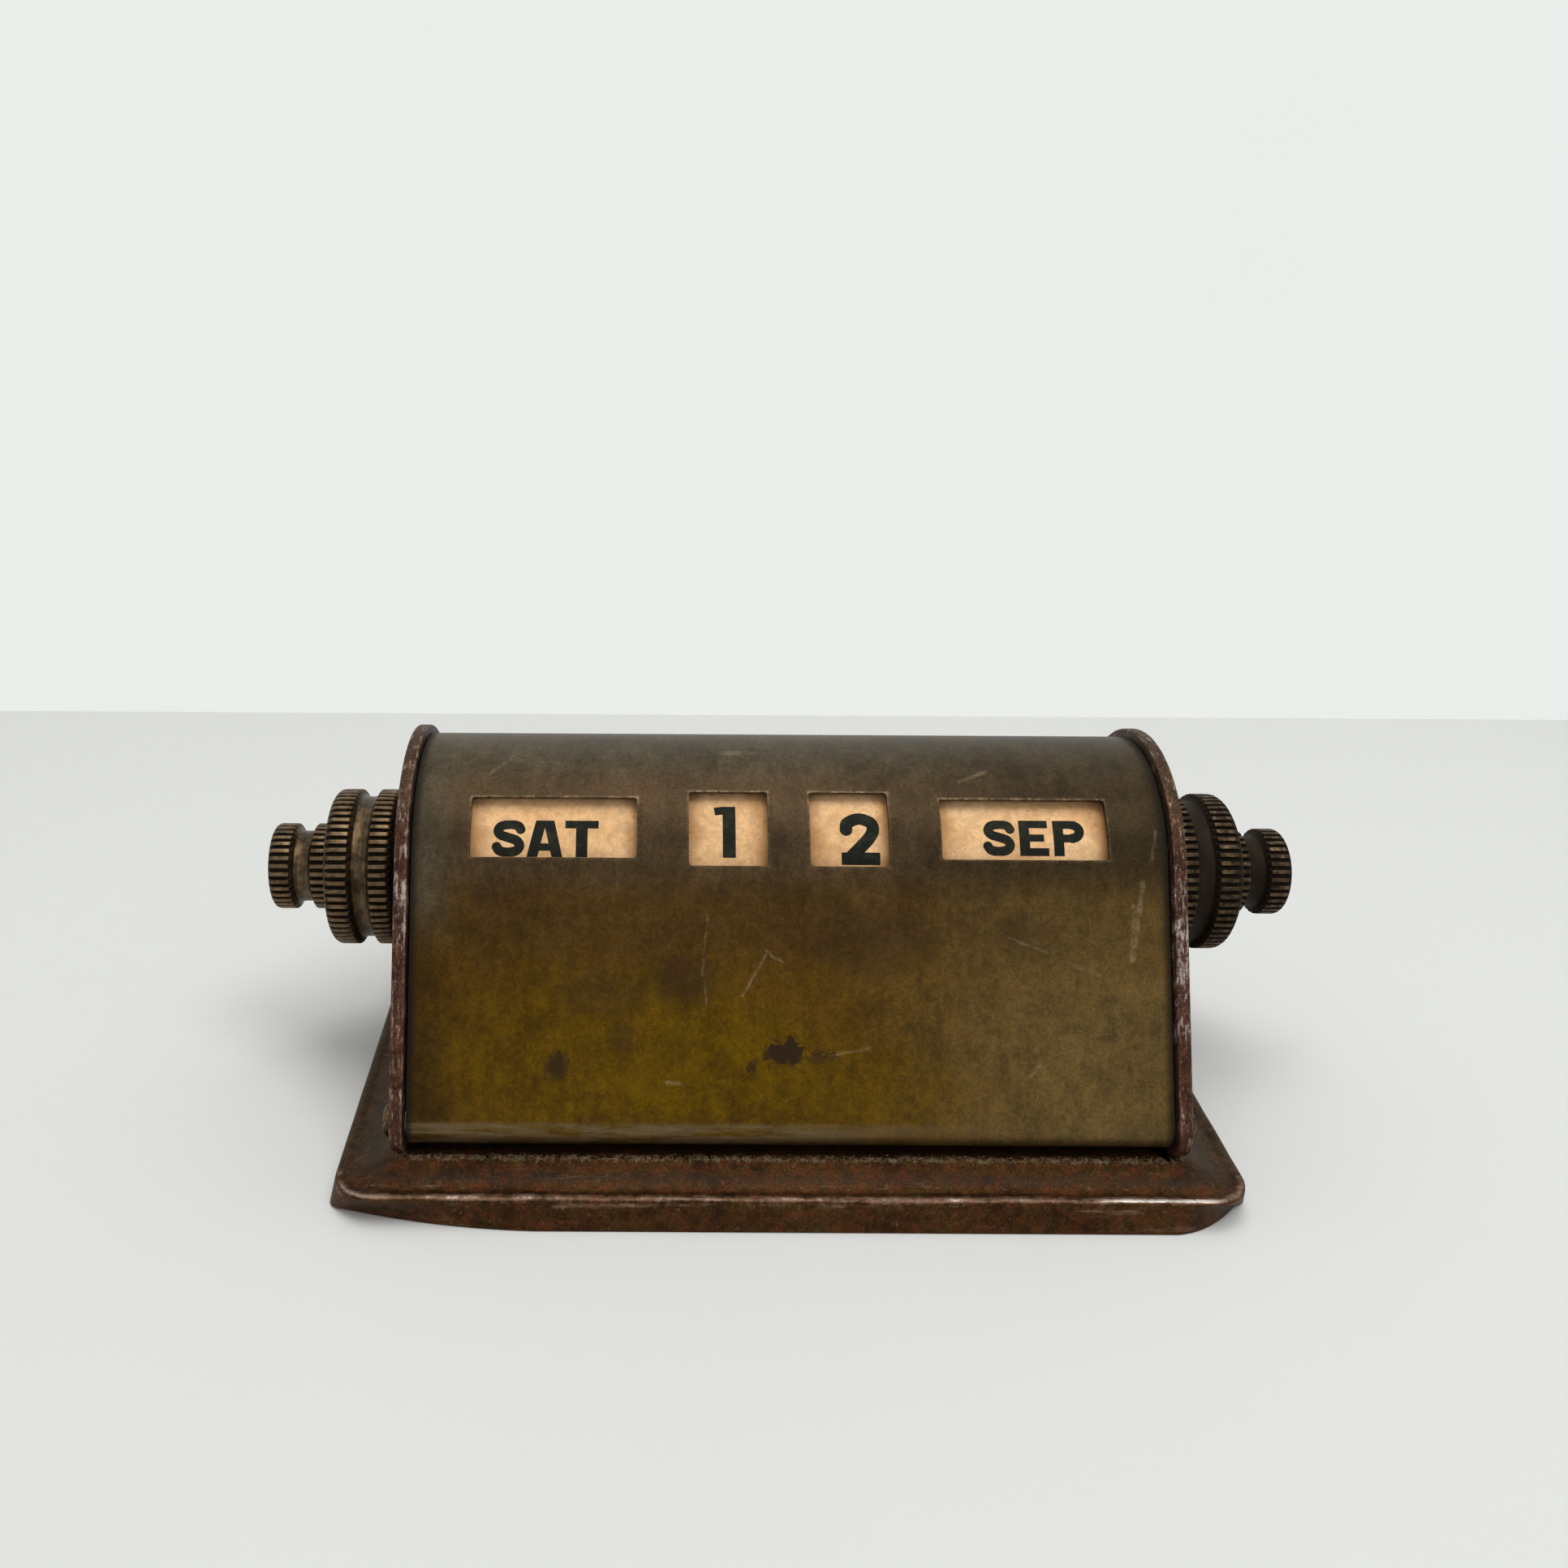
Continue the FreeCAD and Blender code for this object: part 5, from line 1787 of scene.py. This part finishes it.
    def _thinned(self, loop: list[Flat]) -> list[Flat]:
        """An outline without the points that its neighbours make needless."""
        kept = loop[:1]
        skipped: list[Flat] = []
        for point, after in zip(loop[1:], loop[2:] + loop[:1]):
            start = kept[-1]
            run = (after[0] - start[0], after[1] - start[1])
            length = math.hypot(*run)
            off = max(
                abs((p[0] - start[0]) * run[1] - (p[1] - start[1]) * run[0]) / max(length, 1e-9)
                for p in [*skipped, point]
            )
            if off > self.flatness or length > 0.3:
                kept.append(point)
                skipped = []
            else:
                skipped.append(point)
        return kept

    def fill(self, sign: str) -> tuple[list[Flat], list[list[int]]]:
        """One sign as flat faces, cut into strips so that it can be bent round a roller.

        Args:
            sign: The letter or digit.

        Returns:
            Its points and faces, in parts of its height.
        """
        if sign in self.filled:
            return self.filled[sign]
        curve = bpy.data.curves.new("sign", "CURVE")
        curve.dimensions = "2D"
        curve.fill_mode = "BOTH"
        for loop in self.loops(GLYPHS[sign]):
            spline = curve.splines.new("POLY")
            spline.points.add(len(loop) - 1)
            for point, place in zip(spline.points, loop):
                point.co = (*place, 0.0, 1.0)
            spline.use_cyclic_u = True
        holder = Bench.lay("sign", curve)
        flat = Bench.settled(holder)
        bpy.data.objects.remove(holder)
        cut = bmesh.new()
        cut.from_mesh(flat)
        bmesh.ops.remove_doubles(cut, verts=cut.verts[:], dist=1e-5)
        for step in range(1, int(1.0 / self.strip) + 1):
            bmesh.ops.bisect_plane(
                cut, geom=cut.verts[:] + cut.edges[:] + cut.faces[:], dist=1e-6,
                plane_co=(0.0, step * self.strip, 0.0), plane_no=(0.0, 1.0, 0.0),
            )
        for face in cut.faces:
            if face.normal.z < 0:
                face.normal_flip()
        cut.verts.index_update()
        points = [(vert.co.x, vert.co.y) for vert in cut.verts]
        faces = [[vert.index for vert in face.verts] for face in cut.faces]
        cut.free()
        self.filled[sign] = (points, faces)
        return self.filled[sign]


@dataclass
class LetteredBand:
    """One roller's paper band with its printed entries."""

    word: str
    start_x: float
    end_x: float
    entries: tuple[str, ...]
    shown: int
    elevation: float
    height: float
    middle_x: float
    spacing: float
    stretch: float = 1.0
    inner_radius: float = 19.35
    outer_radius: float = 19.60
    ink_height: float = 0.012
    steps: int = 240

    def build(self, alphabet: PrintedAlphabet) -> bpy.types.Object:
        """Make the band and print it.

        Args:
            alphabet: The signs.

        Returns:
            The object.
        """
        columns, length = 6, self.end_x - self.start_x
        rims = [
            (self.start_x + length * step / columns, self.outer_radius)
            for step in range(columns + 1)
        ]
        rims += [(self.end_x, self.inner_radius), (self.start_x, self.inner_radius)]
        name = f"lettered_{self.word}_band"
        paper = turned_skin(rims, LINES.axis, self.steps).mesh(name)
        ink = self.printing(alphabet)
        join = bmesh.new()
        join.from_mesh(paper)
        plain = len(join.faces)
        join.from_mesh(ink)
        join.faces.ensure_lookup_table()
        for number, face in enumerate(join.faces):
            face.material_index = int(number >= plain)
        join.to_mesh(paper)
        join.free()
        bpy.data.meshes.remove(ink)
        return Bench.lay(name, paper)

    def printing(self, alphabet: PrintedAlphabet) -> bpy.types.Mesh:
        """Every entry, bent round the band.

        Args:
            alphabet: The signs.

        Returns:
            The printing's mesh, in metres.
        """
        points: list[Point] = []
        faces: list[list[int]] = []
        pitch = 360.0 / len(self.entries)
        radius = self.outer_radius + self.ink_height
        for number, entry in enumerate(self.entries):
            turn = self.elevation - (number - self.shown) * pitch
            widths = [GLYPHS[sign].width * self.height * self.stretch for sign in entry]
            pen = self.middle_x - (sum(widths) + self.spacing * (len(entry) - 1)) / 2
            for sign, wide in zip(entry, widths):
                flat, shapes = alphabet.fill(sign)
                first = len(points)
                for across, up in flat:
                    rise = (up - 0.5) * self.height / self.outer_radius
                    y, z = LINES.about_axis(radius, turn + math.degrees(rise))
                    points.append((
                        (pen + across * self.height * self.stretch) * MM, y * MM, z * MM
                    ))
                faces.extend([[first + corner for corner in shape] for shape in shapes])
                pen += wide + self.spacing
        made = bpy.data.meshes.new("printing")
        made.from_pydata(points, [], faces)
        return made

    def dress(self, alphabet: PrintedAlphabet, finishes: Finishes) -> None:
        """Build the band and tie it to its roller."""
        piece, skins = self.build(alphabet), [finishes.paper, finishes.ink]
        Bench.finish(piece, self.word + "_roller", skins, Slot.PAPER, [self.word + "_band"], 40.0)


@dataclass
class Bands:
    """The four lettered bands."""

    def dress(self, finishes: Finishes) -> None:
        """Build all four bands and tie them to their rollers."""
        alphabet = PrintedAlphabet()
        days = ("SUN", "MON", "TUE", "WED", "THU", "FRI", "SAT")
        months = (
            "JAN", "FEB", "MAR", "APR", "MAY", "JUN", "JUL", "AUG", "SEP", "OCT", "NOV", "DEC"
        )
        left, tens, right = (-51.5, -19.325), (-17.325, -2.8), (19.325, 51.5)
        units = (2.8, 17.325)
        for band in (
            LetteredBand("weekday", *left, days, 6, 40.0, 5.5, -35.45, 0.38),
            LetteredBand("tens", *tens, tuple("01230123"), 1, 43.6, 7.9, -9.15, 0.0),
            LetteredBand("units", *units, tuple("0123456789"), 2, 40.8, 7.9, 10.5, 0.0),
            LetteredBand("month", *right, months, 8, 41.4, 5.37, 36.0, 0.8),
        ):
            band.dress(alphabet, finishes)


# Knobs, bushes and screws


@dataclass
class KnurledKnob:
    """A knob with two toothed flanges and a smooth groove between them."""

    word: str
    size: str
    side: Side
    start_x: float
    radius: float
    groove: float
    teeth: int
    inner_chamfer: float
    end_round: float
    bore: float
    blind_x: float | None = None
    land: float = 2.5
    waist: float = 2.1
    shoulder: float = 0.6
    tooth_depth: float = 0.55
    # How strongly painted shade darkens the knob.
    soot: float = 0.0

    def profile(self) -> list[Flat]:
        """The knob's outline (x, radius) from its bore at the inner face round to the bore."""
        r, x, bore, land = self.radius, self.start_x, self.bore, self.land
        chamfer, end, groove = self.inner_chamfer, self.end_round, self.groove
        path = [(x, bore + 0.2), (x, r * 0.7), (x, r - chamfer - 0.12)]
        path += arc((x + chamfer, r - chamfer), chamfer, 180.0, 90.0, 3)
        x += chamfer + land
        path.append((x - land * 0.5, r))
        down = ((-0.12, 0.0), (0.0, 0.06), (0.22, 0.26), (0.5, 0.62), (0.78, 0.92), (1.0, 1.0))
        path += [(x + part * self.shoulder, r - drop * groove) for part, drop in down]
        path.append((x + self.shoulder + self.waist / 2, r - groove - 0.06))
        x += 2 * self.shoulder + self.waist
        path += [(x - part * self.shoulder, r - drop * groove) for part, drop in reversed(down)]
        path.append((x + land * 0.5, r))
        x += land
        for turn in (0.0, 22.0, 45.0, 68.0, 90.0):
            angle = math.radians(turn)
            path.append((x + end * math.sin(angle), r - end * (1.0 - math.cos(angle))))
        x += end
        path.append((x, r - end - 0.3))
        if self.blind_x is None:
            path += [(x - 0.12, r * 0.55), (x - 0.12, bore + 0.25), (x - 0.3, bore)]
        else:
            path += [(x - 0.05, r * 0.55), (x - 0.02, r * 0.2), (x - 0.02, 0.0)]
            path += [(self.blind_x, 0.0), (self.blind_x, bore)]
        return path + [(self.start_x + 0.2, bore)]

    def notch(self, part: float) -> float:
        """How deep the cut between two teeth is, from 0 to 1, at a part of a tooth's pitch."""
        off = abs(part - 0.5)
        full, none = 0.145, 0.285
        if off <= full:
            return 1.0
        if off >= none:
            return 0.0
        reach = (none - off) / (none - full)
        return reach * reach * (3.0 - 2.0 * reach)

    def sector(self) -> bpy.types.Object:
        """One tooth's share of the knob, about the X axis.

        Returns:
            The object that the tree repeats.
        """
        skin = Skin()
        parts = (0.0, 0.11, 0.19, 0.225, 0.26, 0.30, 0.355, 0.42, 0.5)
        parts += tuple(1.0 - part for part in reversed(parts[:-1]))
        pitch = 2.0 * math.pi / self.teeth
        crest: dict[int, float] = {}
        valley: dict[int, float] = {}
        rows = []
        for x, outer in self.profile():
            row = []
            for part in parts:
                depth = self.notch(part)
                radius = min(outer, self.radius - self.tooth_depth * depth)
                turn = (part - 0.5) * pitch
                y, z = radius * math.cos(turn), radius * math.sin(turn)
                row += skin.ring([(self.side.value * x, y, z)], soot=self.soot)
                near = max(0.0, 1.0 - (self.radius - outer) / 0.45)
                tip = 1.0 if radius > self.radius - 0.3 else 0.4
                crest[row[-1]] = near * (1.0 - depth) * tip
                valley[row[-1]] = depth * max(0.0, 1.0 - (self.radius - outer) / 0.9)
            rows.append(row)
        for first, second in zip(rows, rows[1:] + rows[:1]):
            skin.bridge(first, second, closed=False)
        skin.marks.update(crest=crest, valley=valley)
        name = self.word + "_knurled_knob"
        return Bench.lay(name, skin.raw_mesh(name))

    def build(self, material: bpy.types.Material) -> bpy.types.Object:
        """Repeat one tooth all the way round.

        Args:
            material: The knob's finish.

        Returns:
            The object.
        """
        tree = RepeatSheet("teeth_round_a_knob", {
            "Teeth": self.teeth,
            "Axis Y": LINES.axis_y * MM,
            "Axis Z": LINES.axis_z * MM,
            "Material": material,
        })
        teeth = tree.size("Teeth")
        spots = tree.node("GeometryNodePoints", inputs={"Count": teeth})
        turn = tree.node("GeometryNodeInputIndex") * math.tau / teeth
        placed = tree.node("GeometryNodeInstanceOnPoints", inputs={
            "Points": spots,
            "Instance": tree.size("Geometry"),
            "Rotation": tree.node("ShaderNodeCombineXYZ", inputs={0: turn}),
        })
        place = {1: tree.size("Axis Y"), 2: tree.size("Axis Z")}
        axis = tree.node("ShaderNodeCombineXYZ", inputs=place)
        moved = {"Geometry": placed, "Translation": axis}
        tree.end(tree.node("GeometryNodeTransform", inputs=moved))
        piece = self.sector()
        tree.run(piece)
        close_seams(piece.data, TOOTH_SEAM)
        return piece

    def dress(self, finishes: Finishes) -> None:
        """Build the knob and tie it to its roller."""
        piece, node = self.build(finishes.knob), f"{self.word}_{self.size}_knob"
        Bench.finish(piece, self.word + "_roller", [finishes.knob], Slot.KNOB, [node], 55.0)


@dataclass
class Controls:
    """The knobs and the bearing bushes on both ends of the case."""

    flange_radius: float = 8.5
    barrel_radius: float = 5.0
    bush_bore: float = 3.55
    barrel_x: float = 53.0
    plate_x: float = 57.0
    flange_x: float = 59.2
    flange_round: float = 0.45

    def dress(self, finishes: Finishes) -> None:
        """Build every knob and bush and tie them to the model."""
        names = {Side.LEFT: ("weekday", "tens"), Side.RIGHT: ("month", "units")}
        for side, (outer, inner) in names.items():
            # The right end's knobs get painted shade.
            soot = 1.0 if side is Side.RIGHT else 0.0
            KnurledKnob(
                outer, "large", side, 59.6, 12.33, 1.13, 60, 0.8, 1.2, 3.52, soot=soot
            ).dress(finishes)
            KnurledKnob(
                inner, "small", side, 70.3, 6.8, 1.15, 34, 0.3, 0.8, 2.02, 77.7,
                tooth_depth=0.5, soot=soot,
            ).dress(finishes)
            self.bush(side, finishes)

    def bush(self, side: Side, finishes: Finishes) -> None:
        """Turn one bearing bush.

        Args:
            side: Its end of the case.
            finishes: The materials.
        """
        r, x, soft = self.flange_radius, self.flange_x, self.flange_round
        outline = [
            (self.barrel_x, self.bush_bore), (self.barrel_x, self.barrel_radius),
            (self.plate_x, self.barrel_radius), (self.plate_x, r - 0.1), (self.plate_x + 0.1, r),
            (x - soft, r), (x - soft * 0.5, r - soft * 0.13), (x - soft * 0.13, r - soft * 0.5),
            (x, r - soft), (x, self.bush_bore + 0.25), (x - 0.25, self.bush_bore),
        ]
        name = side.name.lower() + "_turned_bush"
        turned = turned_skin(outline, LINES.axis, 96, side.value)
        piece = Bench.lay(name, turned.mesh(name))
        node = side.name.lower() + "_bush"
        Bench.finish(piece, "case", [finishes.knob], Slot.INNER, [node], 40.0)


@dataclass
class TieScrews:
    """The four slotted screws on the end plates."""

    plate_x: float = 57.0
    head_radius: float = 2.4
    head_height: float = 1.4
    slot_width: float = 0.6
    slot_depth: float = 0.7
    shank_radius: float = 1.25
    shank_length: float = 7.7

    def head(self) -> bpy.types.Object:
        """One screw along +X, its head standing on the origin's plane.

        Returns:
            The object that the tree repeats.
        """
        r, high = self.head_radius, self.head_height
        outline = [
            (-self.shank_length, 0.0), (-self.shank_length, self.shank_radius * 0.7),
            (-self.shank_length + 0.4, self.shank_radius), (0.0, self.shank_radius),
            (0.0, r - 0.05), (0.05, r), (high * 0.45, r), (high * 0.70, r * 0.93),
            (high * 0.88, r * 0.76), (high * 0.97, r * 0.5), (high, 0.0),
        ]
        turned = turned_skin(outline, (0.0, 0.0), 40, around=False)
        piece = Bench.lay("slotted_tie_screws", turned.mesh("slotted_tie_screws"))
        deep, half = high - self.slot_depth, self.slot_width / 2
        corners = [(-r - 1, -half), (r + 1, -half), (r + 1, half), (-r - 1, half)]
        slot = Skin().block(*([(x, y, z) for y, z in corners] for x in (deep, high + 1.0)))
        Bench.cut(piece, [slot], 0.07, 2, 50.0)
        return piece

    def build(self, material: bpy.types.Material) -> bpy.types.Object:
        """Put one screw at each end of both tie bars.

        Args:
            material: The screws' finish.

        Returns:
            The object.
        """
        tree = RepeatSheet("screws_on_the_end_plates", {
            "Half Span": self.plate_x * MM,
            "Front Y": LINES.front_bar_y * MM,
            "Back Y": LINES.rear_bar_y * MM,
            "Height": LINES.bar_z * MM,
            "Seed": 4,
            "Material": material,
        })
        index = tree.node("GeometryNodeInputIndex")
        end, row = index % 2.0, (index / 2.0).floored()
        place = tree.node("ShaderNodeCombineXYZ", inputs={
            0: (1.0 - end * 2.0) * tree.size("Half Span"),
            1: tree.size("Front Y") + row * (tree.size("Back Y") - tree.size("Front Y")),
            2: tree.size("Height"),
        })
        moved = tree.node("GeometryNodeSetPosition", inputs={
            "Geometry": tree.node("GeometryNodePoints", inputs={"Count": 4}), "Position": place,
        })
        reach = {2: 0.0, 3: math.pi, "Seed": tree.size("Seed")}
        turn = tree.node("FunctionNodeRandomValue", {"data_type": "FLOAT"}, reach, 1)
        tree.end(tree.node("GeometryNodeInstanceOnPoints", inputs={
            "Points": moved,
            "Instance": tree.size("Geometry"),
            "Rotation": tree.node("ShaderNodeCombineXYZ", inputs={0: turn, 2: end * math.pi}),
        }))
        piece = self.head()
        tree.run(piece)
        return piece

    def dress(self, finishes: Finishes) -> None:
        """Build the screws and tie them to the model."""
        piece = self.build(finishes.knob)
        Bench.finish(piece, "case", [finishes.knob], Slot.STEEL, ["tie_bar_screws"], 40.0)


@dataclass
class BaizePad:
    """The felted cloth let into the underside, so that the base doesn't scratch the table."""

    half_width: float = 58.74
    half_depth: float = 28.43
    corner: float = 4.0
    thickness: float = 0.9
    gap: float = 0.04
    columns: int = 96
    rows: int = 48

    def build(self) -> bpy.types.Object:
        """Lay the cloth in its recess, with the slight unevenness of felt.

        Returns:
            The object.
        """
        skin = Skin()

        def place(across: float, back: float) -> Flat:
            """A square grid's place drawn in at the corners."""
            x, y = across * self.half_width, back * self.half_depth
            over_x = max(0.0, abs(x) - (self.half_width - self.corner))
            over_y = max(0.0, abs(y) - (self.half_depth - self.corner))
            reach = math.hypot(over_x, over_y)
            if reach > 1e-9 and min(over_x, over_y) > 0.0:
                scale = max(over_x, over_y) / reach
                x -= math.copysign(over_x * (1.0 - scale), x)
                y -= math.copysign(over_y * (1.0 - scale), y)
            return x, y

        layers: list[list[list[int]]] = []
        for lift in (0.0, self.thickness):
            layers.append([])
            for row in range(self.rows + 1):
                points = []
                for column in range(self.columns + 1):
                    x, y = place(2.0 * column / self.columns - 1.0, 2.0 * row / self.rows - 1.0)
                    wave = 0.02 * math.sin(x * 0.9 + y * 0.5) * math.cos(y * 1.1 - x * 0.3)
                    points.append((x, y, self.gap + 0.03 + wave + lift))
                layers[-1].append(skin.ring(points))
        edges = []
        for rows in layers:
            for first, second in zip(rows, rows[1:]):
                skin.bridge(first, second, closed=False)
            edge = rows[0] + [row[-1] for row in rows[1:]] + rows[-1][-2::-1]
            edges.append(edge + [row[0] for row in rows[-2:0:-1]])
        skin.bridge(*edges)
        return Bench.lay("baize_cloth", skin.mesh("baize_cloth"))

    def dress(self, finishes: Finishes) -> None:
        piece = self.build()
        Bench.finish(piece, "case", [finishes.baize], Slot.BAIZE, ["baize_pad"], 60.0)


@dataclass
class CreaseLint:
    """The lint that has gathered on the base along the foot of the cover."""

    front_y: float = -29.75
    back_y: float = -28.6
    half_length: float = 55.0
    ground_z: float = 7.4
    density: float = 1.5
    seed: int = 11

    def build(self, material: bpy.types.Material) -> bpy.types.Object:
        """Scatter small crumbs over a narrow strip of the base.

        Args:
            material: The lint's finish.

        Returns:
            The object.
        """
        skin = Skin()
        rows = []
        for y in (self.back_y, self.front_y):
            path = straight((-self.half_length, y), (self.half_length, y), 44)
            path.append((self.half_length, y))
            rows.append(skin.ring((x, y, self.ground_z + 0.02) for x, y in path))
        skin.bridge(*rows, closed=False)
        piece = Bench.lay("crease_lint", skin.mesh("crease_lint"))
        tree = RepeatSheet("lint_along_the_crease", {
            "Crumbs Per Square Metre": self.density * 1e6,
            "Crumb Size": 0.12 * MM,
            "Seed": self.seed,
            "Material": material,
        })
        seed = tree.size("Seed")
        scatter = {
            "Mesh": tree.size("Geometry"),
            "Density": tree.size("Crumbs Per Square Metre"),
            "Seed": seed,
        }
        method = {"distribute_method": "RANDOM"}
        crumb = {"Radius": tree.size("Crumb Size"), "Subdivisions": 1}
        each = {"data_type": "FLOAT_VECTOR"}
        turn = {0: (0.0, 0.0, 0.0), 1: (0.6, 0.6, math.tau), "Seed": seed + 1}
        size = {0: (0.5, 0.2, 0.2), 1: (2.6, 0.7, 0.9), "Seed": seed + 2}
        tree.end(tree.node("GeometryNodeInstanceOnPoints", inputs={
            "Points": tree.node("GeometryNodeDistributePointsOnFaces", method, scatter),
            "Instance": tree.node("GeometryNodeMeshIcoSphere", inputs=crumb),
            "Rotation": tree.node("FunctionNodeRandomValue", each, turn),
            "Scale": tree.node("FunctionNodeRandomValue", each, size),
        }))
        tree.run(piece)
        return piece

    def dress(self, finishes: Finishes) -> None:
        """Build the lint and tie it to the case."""
        Bench.finish(self.build(finishes.lint), "case", [finishes.lint], Slot.BASE, (), 60.0)


@dataclass
class Workings:
    """The solids inside the case that are shown as they are, with a finish of their own."""

    def dress(self, finishes: Finishes) -> None:
        """Give every solid that is still shown its material."""
        steel = ("tie_bar", "base_screws", "spindle", "grub_screw")
        tin = ("drum", "drum_cap")
        for name, node in sorted(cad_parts.items()):
            if node.hide_render:
                continue
            material = finishes.brass
            if any(name.endswith(word) for word in steel):
                material = finishes.steel
            elif any(name.endswith(word) for word in tin):
                material = finishes.tin
            node.data.materials.clear()
            node.data.materials.append(material)
            log.info("%s: shown as it is, in %s", name, material.name)


# Studio


@dataclass
class Studio:
    """A pale table and wall, soft light and the camera."""

    wall_y: float = 165.0
    table: Colour = (0.76, 0.765, 0.745)
    wall: Colour = (0.835, 0.850, 0.830)
    camera_place: Point = (-19.46, -184.16, 135.77)
    pitch: float = 24.19
    roll: float = 0.33
    focal_pixels: float = 1661.94
    photo_pixels: float = 1932.0
    centre_pixel: float = 807.47
    sensor: float = 36.0
    room: float = 0.52
    background: float = 0.68
    reach: float = 3000.0

    @staticmethod
    def plain(name: str, colour: Colour) -> FinishSheet:
        """Start a plain material with a faint unevenness.

        Args:
            name: Its name.
            colour: Its colour.

        Returns:
            The tree, with no surface yet.
        """
        mix = FinishSheet(name)
        mix.colour = mix.blend(0.0, colour, colour)
        mix.shade(0.985 + mix.grain(90.0, detail=3.0) * 0.03)
        return mix

    def backdrop(self) -> bpy.types.Material:
        """The wall's material: an even colour in the picture, and open from behind.

        Returns:
            The material.
        """
        mix = self.plain("pale_wall", self.wall)
        matt = mix.node("ShaderNodeBsdfDiffuse", inputs={"Color": mix.colour})
        glow = mix.node("ShaderNodeEmission", inputs={"Color": mix.colour, "Strength": 1.0})
        front = mix.node("ShaderNodeMixShader", inputs={0: mix.seen(), 1: matt, 2: glow})
        behind = mix.node("ShaderNodeNewGeometry", output="Backfacing")
        clear = mix.node("ShaderNodeBsdfTransparent")
        both = mix.node("ShaderNodeMixShader", inputs={0: behind, 1: front, 2: clear})
        mix.node("ShaderNodeOutputMaterial", inputs={"Surface": both})
        return mix.material

    def stage(self) -> None:
        """Make the table and the wall behind it."""
        far, wall_y = self.reach, self.wall_y
        table = [(-far, -far, 0.0), (far, -far, 0.0), (far, far, 0.0), (-far, far, 0.0)]
        wall = [(-far, wall_y, 0.0), (far, wall_y, 0.0), (far, wall_y, far), (-far, wall_y, far)]
        matt = self.plain("pale_table", self.table).surface(0.8, 0.0, specular=0.2)
        for name, corners, material in (
            ("pale_table", table, matt), ("pale_wall", wall, self.backdrop()),
        ):
            skin = Skin()
            skin.cap(skin.ring(corners))
            mesh = skin.raw_mesh(name)
            mesh.materials.append(material)
            Bench.lay(name, mesh)

    def lamp(self, name: str, place: Point, aim: Point, size: float, power: float) -> None:
        """Hang one square soft light.

        Args:
            name: Its name.
            place: Where it hangs, in millimetres.
            aim: What it points at, in millimetres.
            size: Its width in metres.
            power: Its power in watts.
        """
        light = bpy.data.lights.new(name, "AREA")
        light.size = size
        light.energy = power
        holder = Bench.lay(name, light)
        holder.location = Vector(place) * MM
        holder.rotation_euler = (Vector(aim) - Vector(place)).to_track_quat("-Z", "Y").to_euler()

    def world(self) -> None:
        """Light the room evenly from all round."""
        world = bpy.data.worlds.new("soft_room")
        world.use_nodes = True
        bpy.context.scene.world = world
        sheet = NodeSheet(world.node_tree)
        sheet.tree.nodes.clear()
        strength = self.room + sheet.seen() * (self.background - self.room)
        glow = sheet.node("ShaderNodeBackground", inputs={0: (1.0, 1.0, 1.0), 1: strength})
        sheet.node("ShaderNodeOutputWorld", inputs={0: glow})

    def camera(self) -> None:
        """Set the camera where the photograph was taken from."""
        lens = bpy.data.cameras.new("view")
        lens.sensor_width = self.sensor
        lens.lens = self.focal_pixels / self.photo_pixels * self.sensor
        lens.shift_x = (self.photo_pixels / 2 - self.centre_pixel) / self.photo_pixels
        lens.clip_start = 0.01
        lens.clip_end = 20.0
        holder = Bench.lay("view", lens)
        tilt = Matrix.Rotation(math.radians(90.0 - self.pitch), 4, "X")
        roll = Matrix.Rotation(math.radians(self.roll), 4, "Z")
        holder.matrix_world = Matrix.Translation(Vector(self.camera_place) * MM) @ tilt @ roll
        bpy.context.scene.camera = holder

    def build(self) -> None:
        """Set up the stage, the light and the camera."""
        self.stage()
        self.world()
        self.lamp("overhead", (-60.0, 20.0, 900.0), (0.0, 0.0, 20.0), 0.42, 2.6)
        self.lamp("key", (230.0, -250.0, 800.0), (0.0, 0.0, 30.0), 0.30, 1.7)
        self.camera()
        bpy.context.scene.view_settings.view_transform = "Standard"


def main() -> None:
    """Build the calendar and its studio, piece by piece."""
    logging.basicConfig(level=logging.INFO, format="%(name)s: %(message)s")
    finishes = Finishes()
    Studio().build()
    for part in (
        BaseCasting(), EndPlates(), CoverSheet(), Bands(), Controls(), TieScrews(), BaizePad(),
        CreaseLint(), Workings(),
    ):
        part.dress(finishes)
    bpy.context.view_layer.update()


if __name__ == "__main__":
    main()
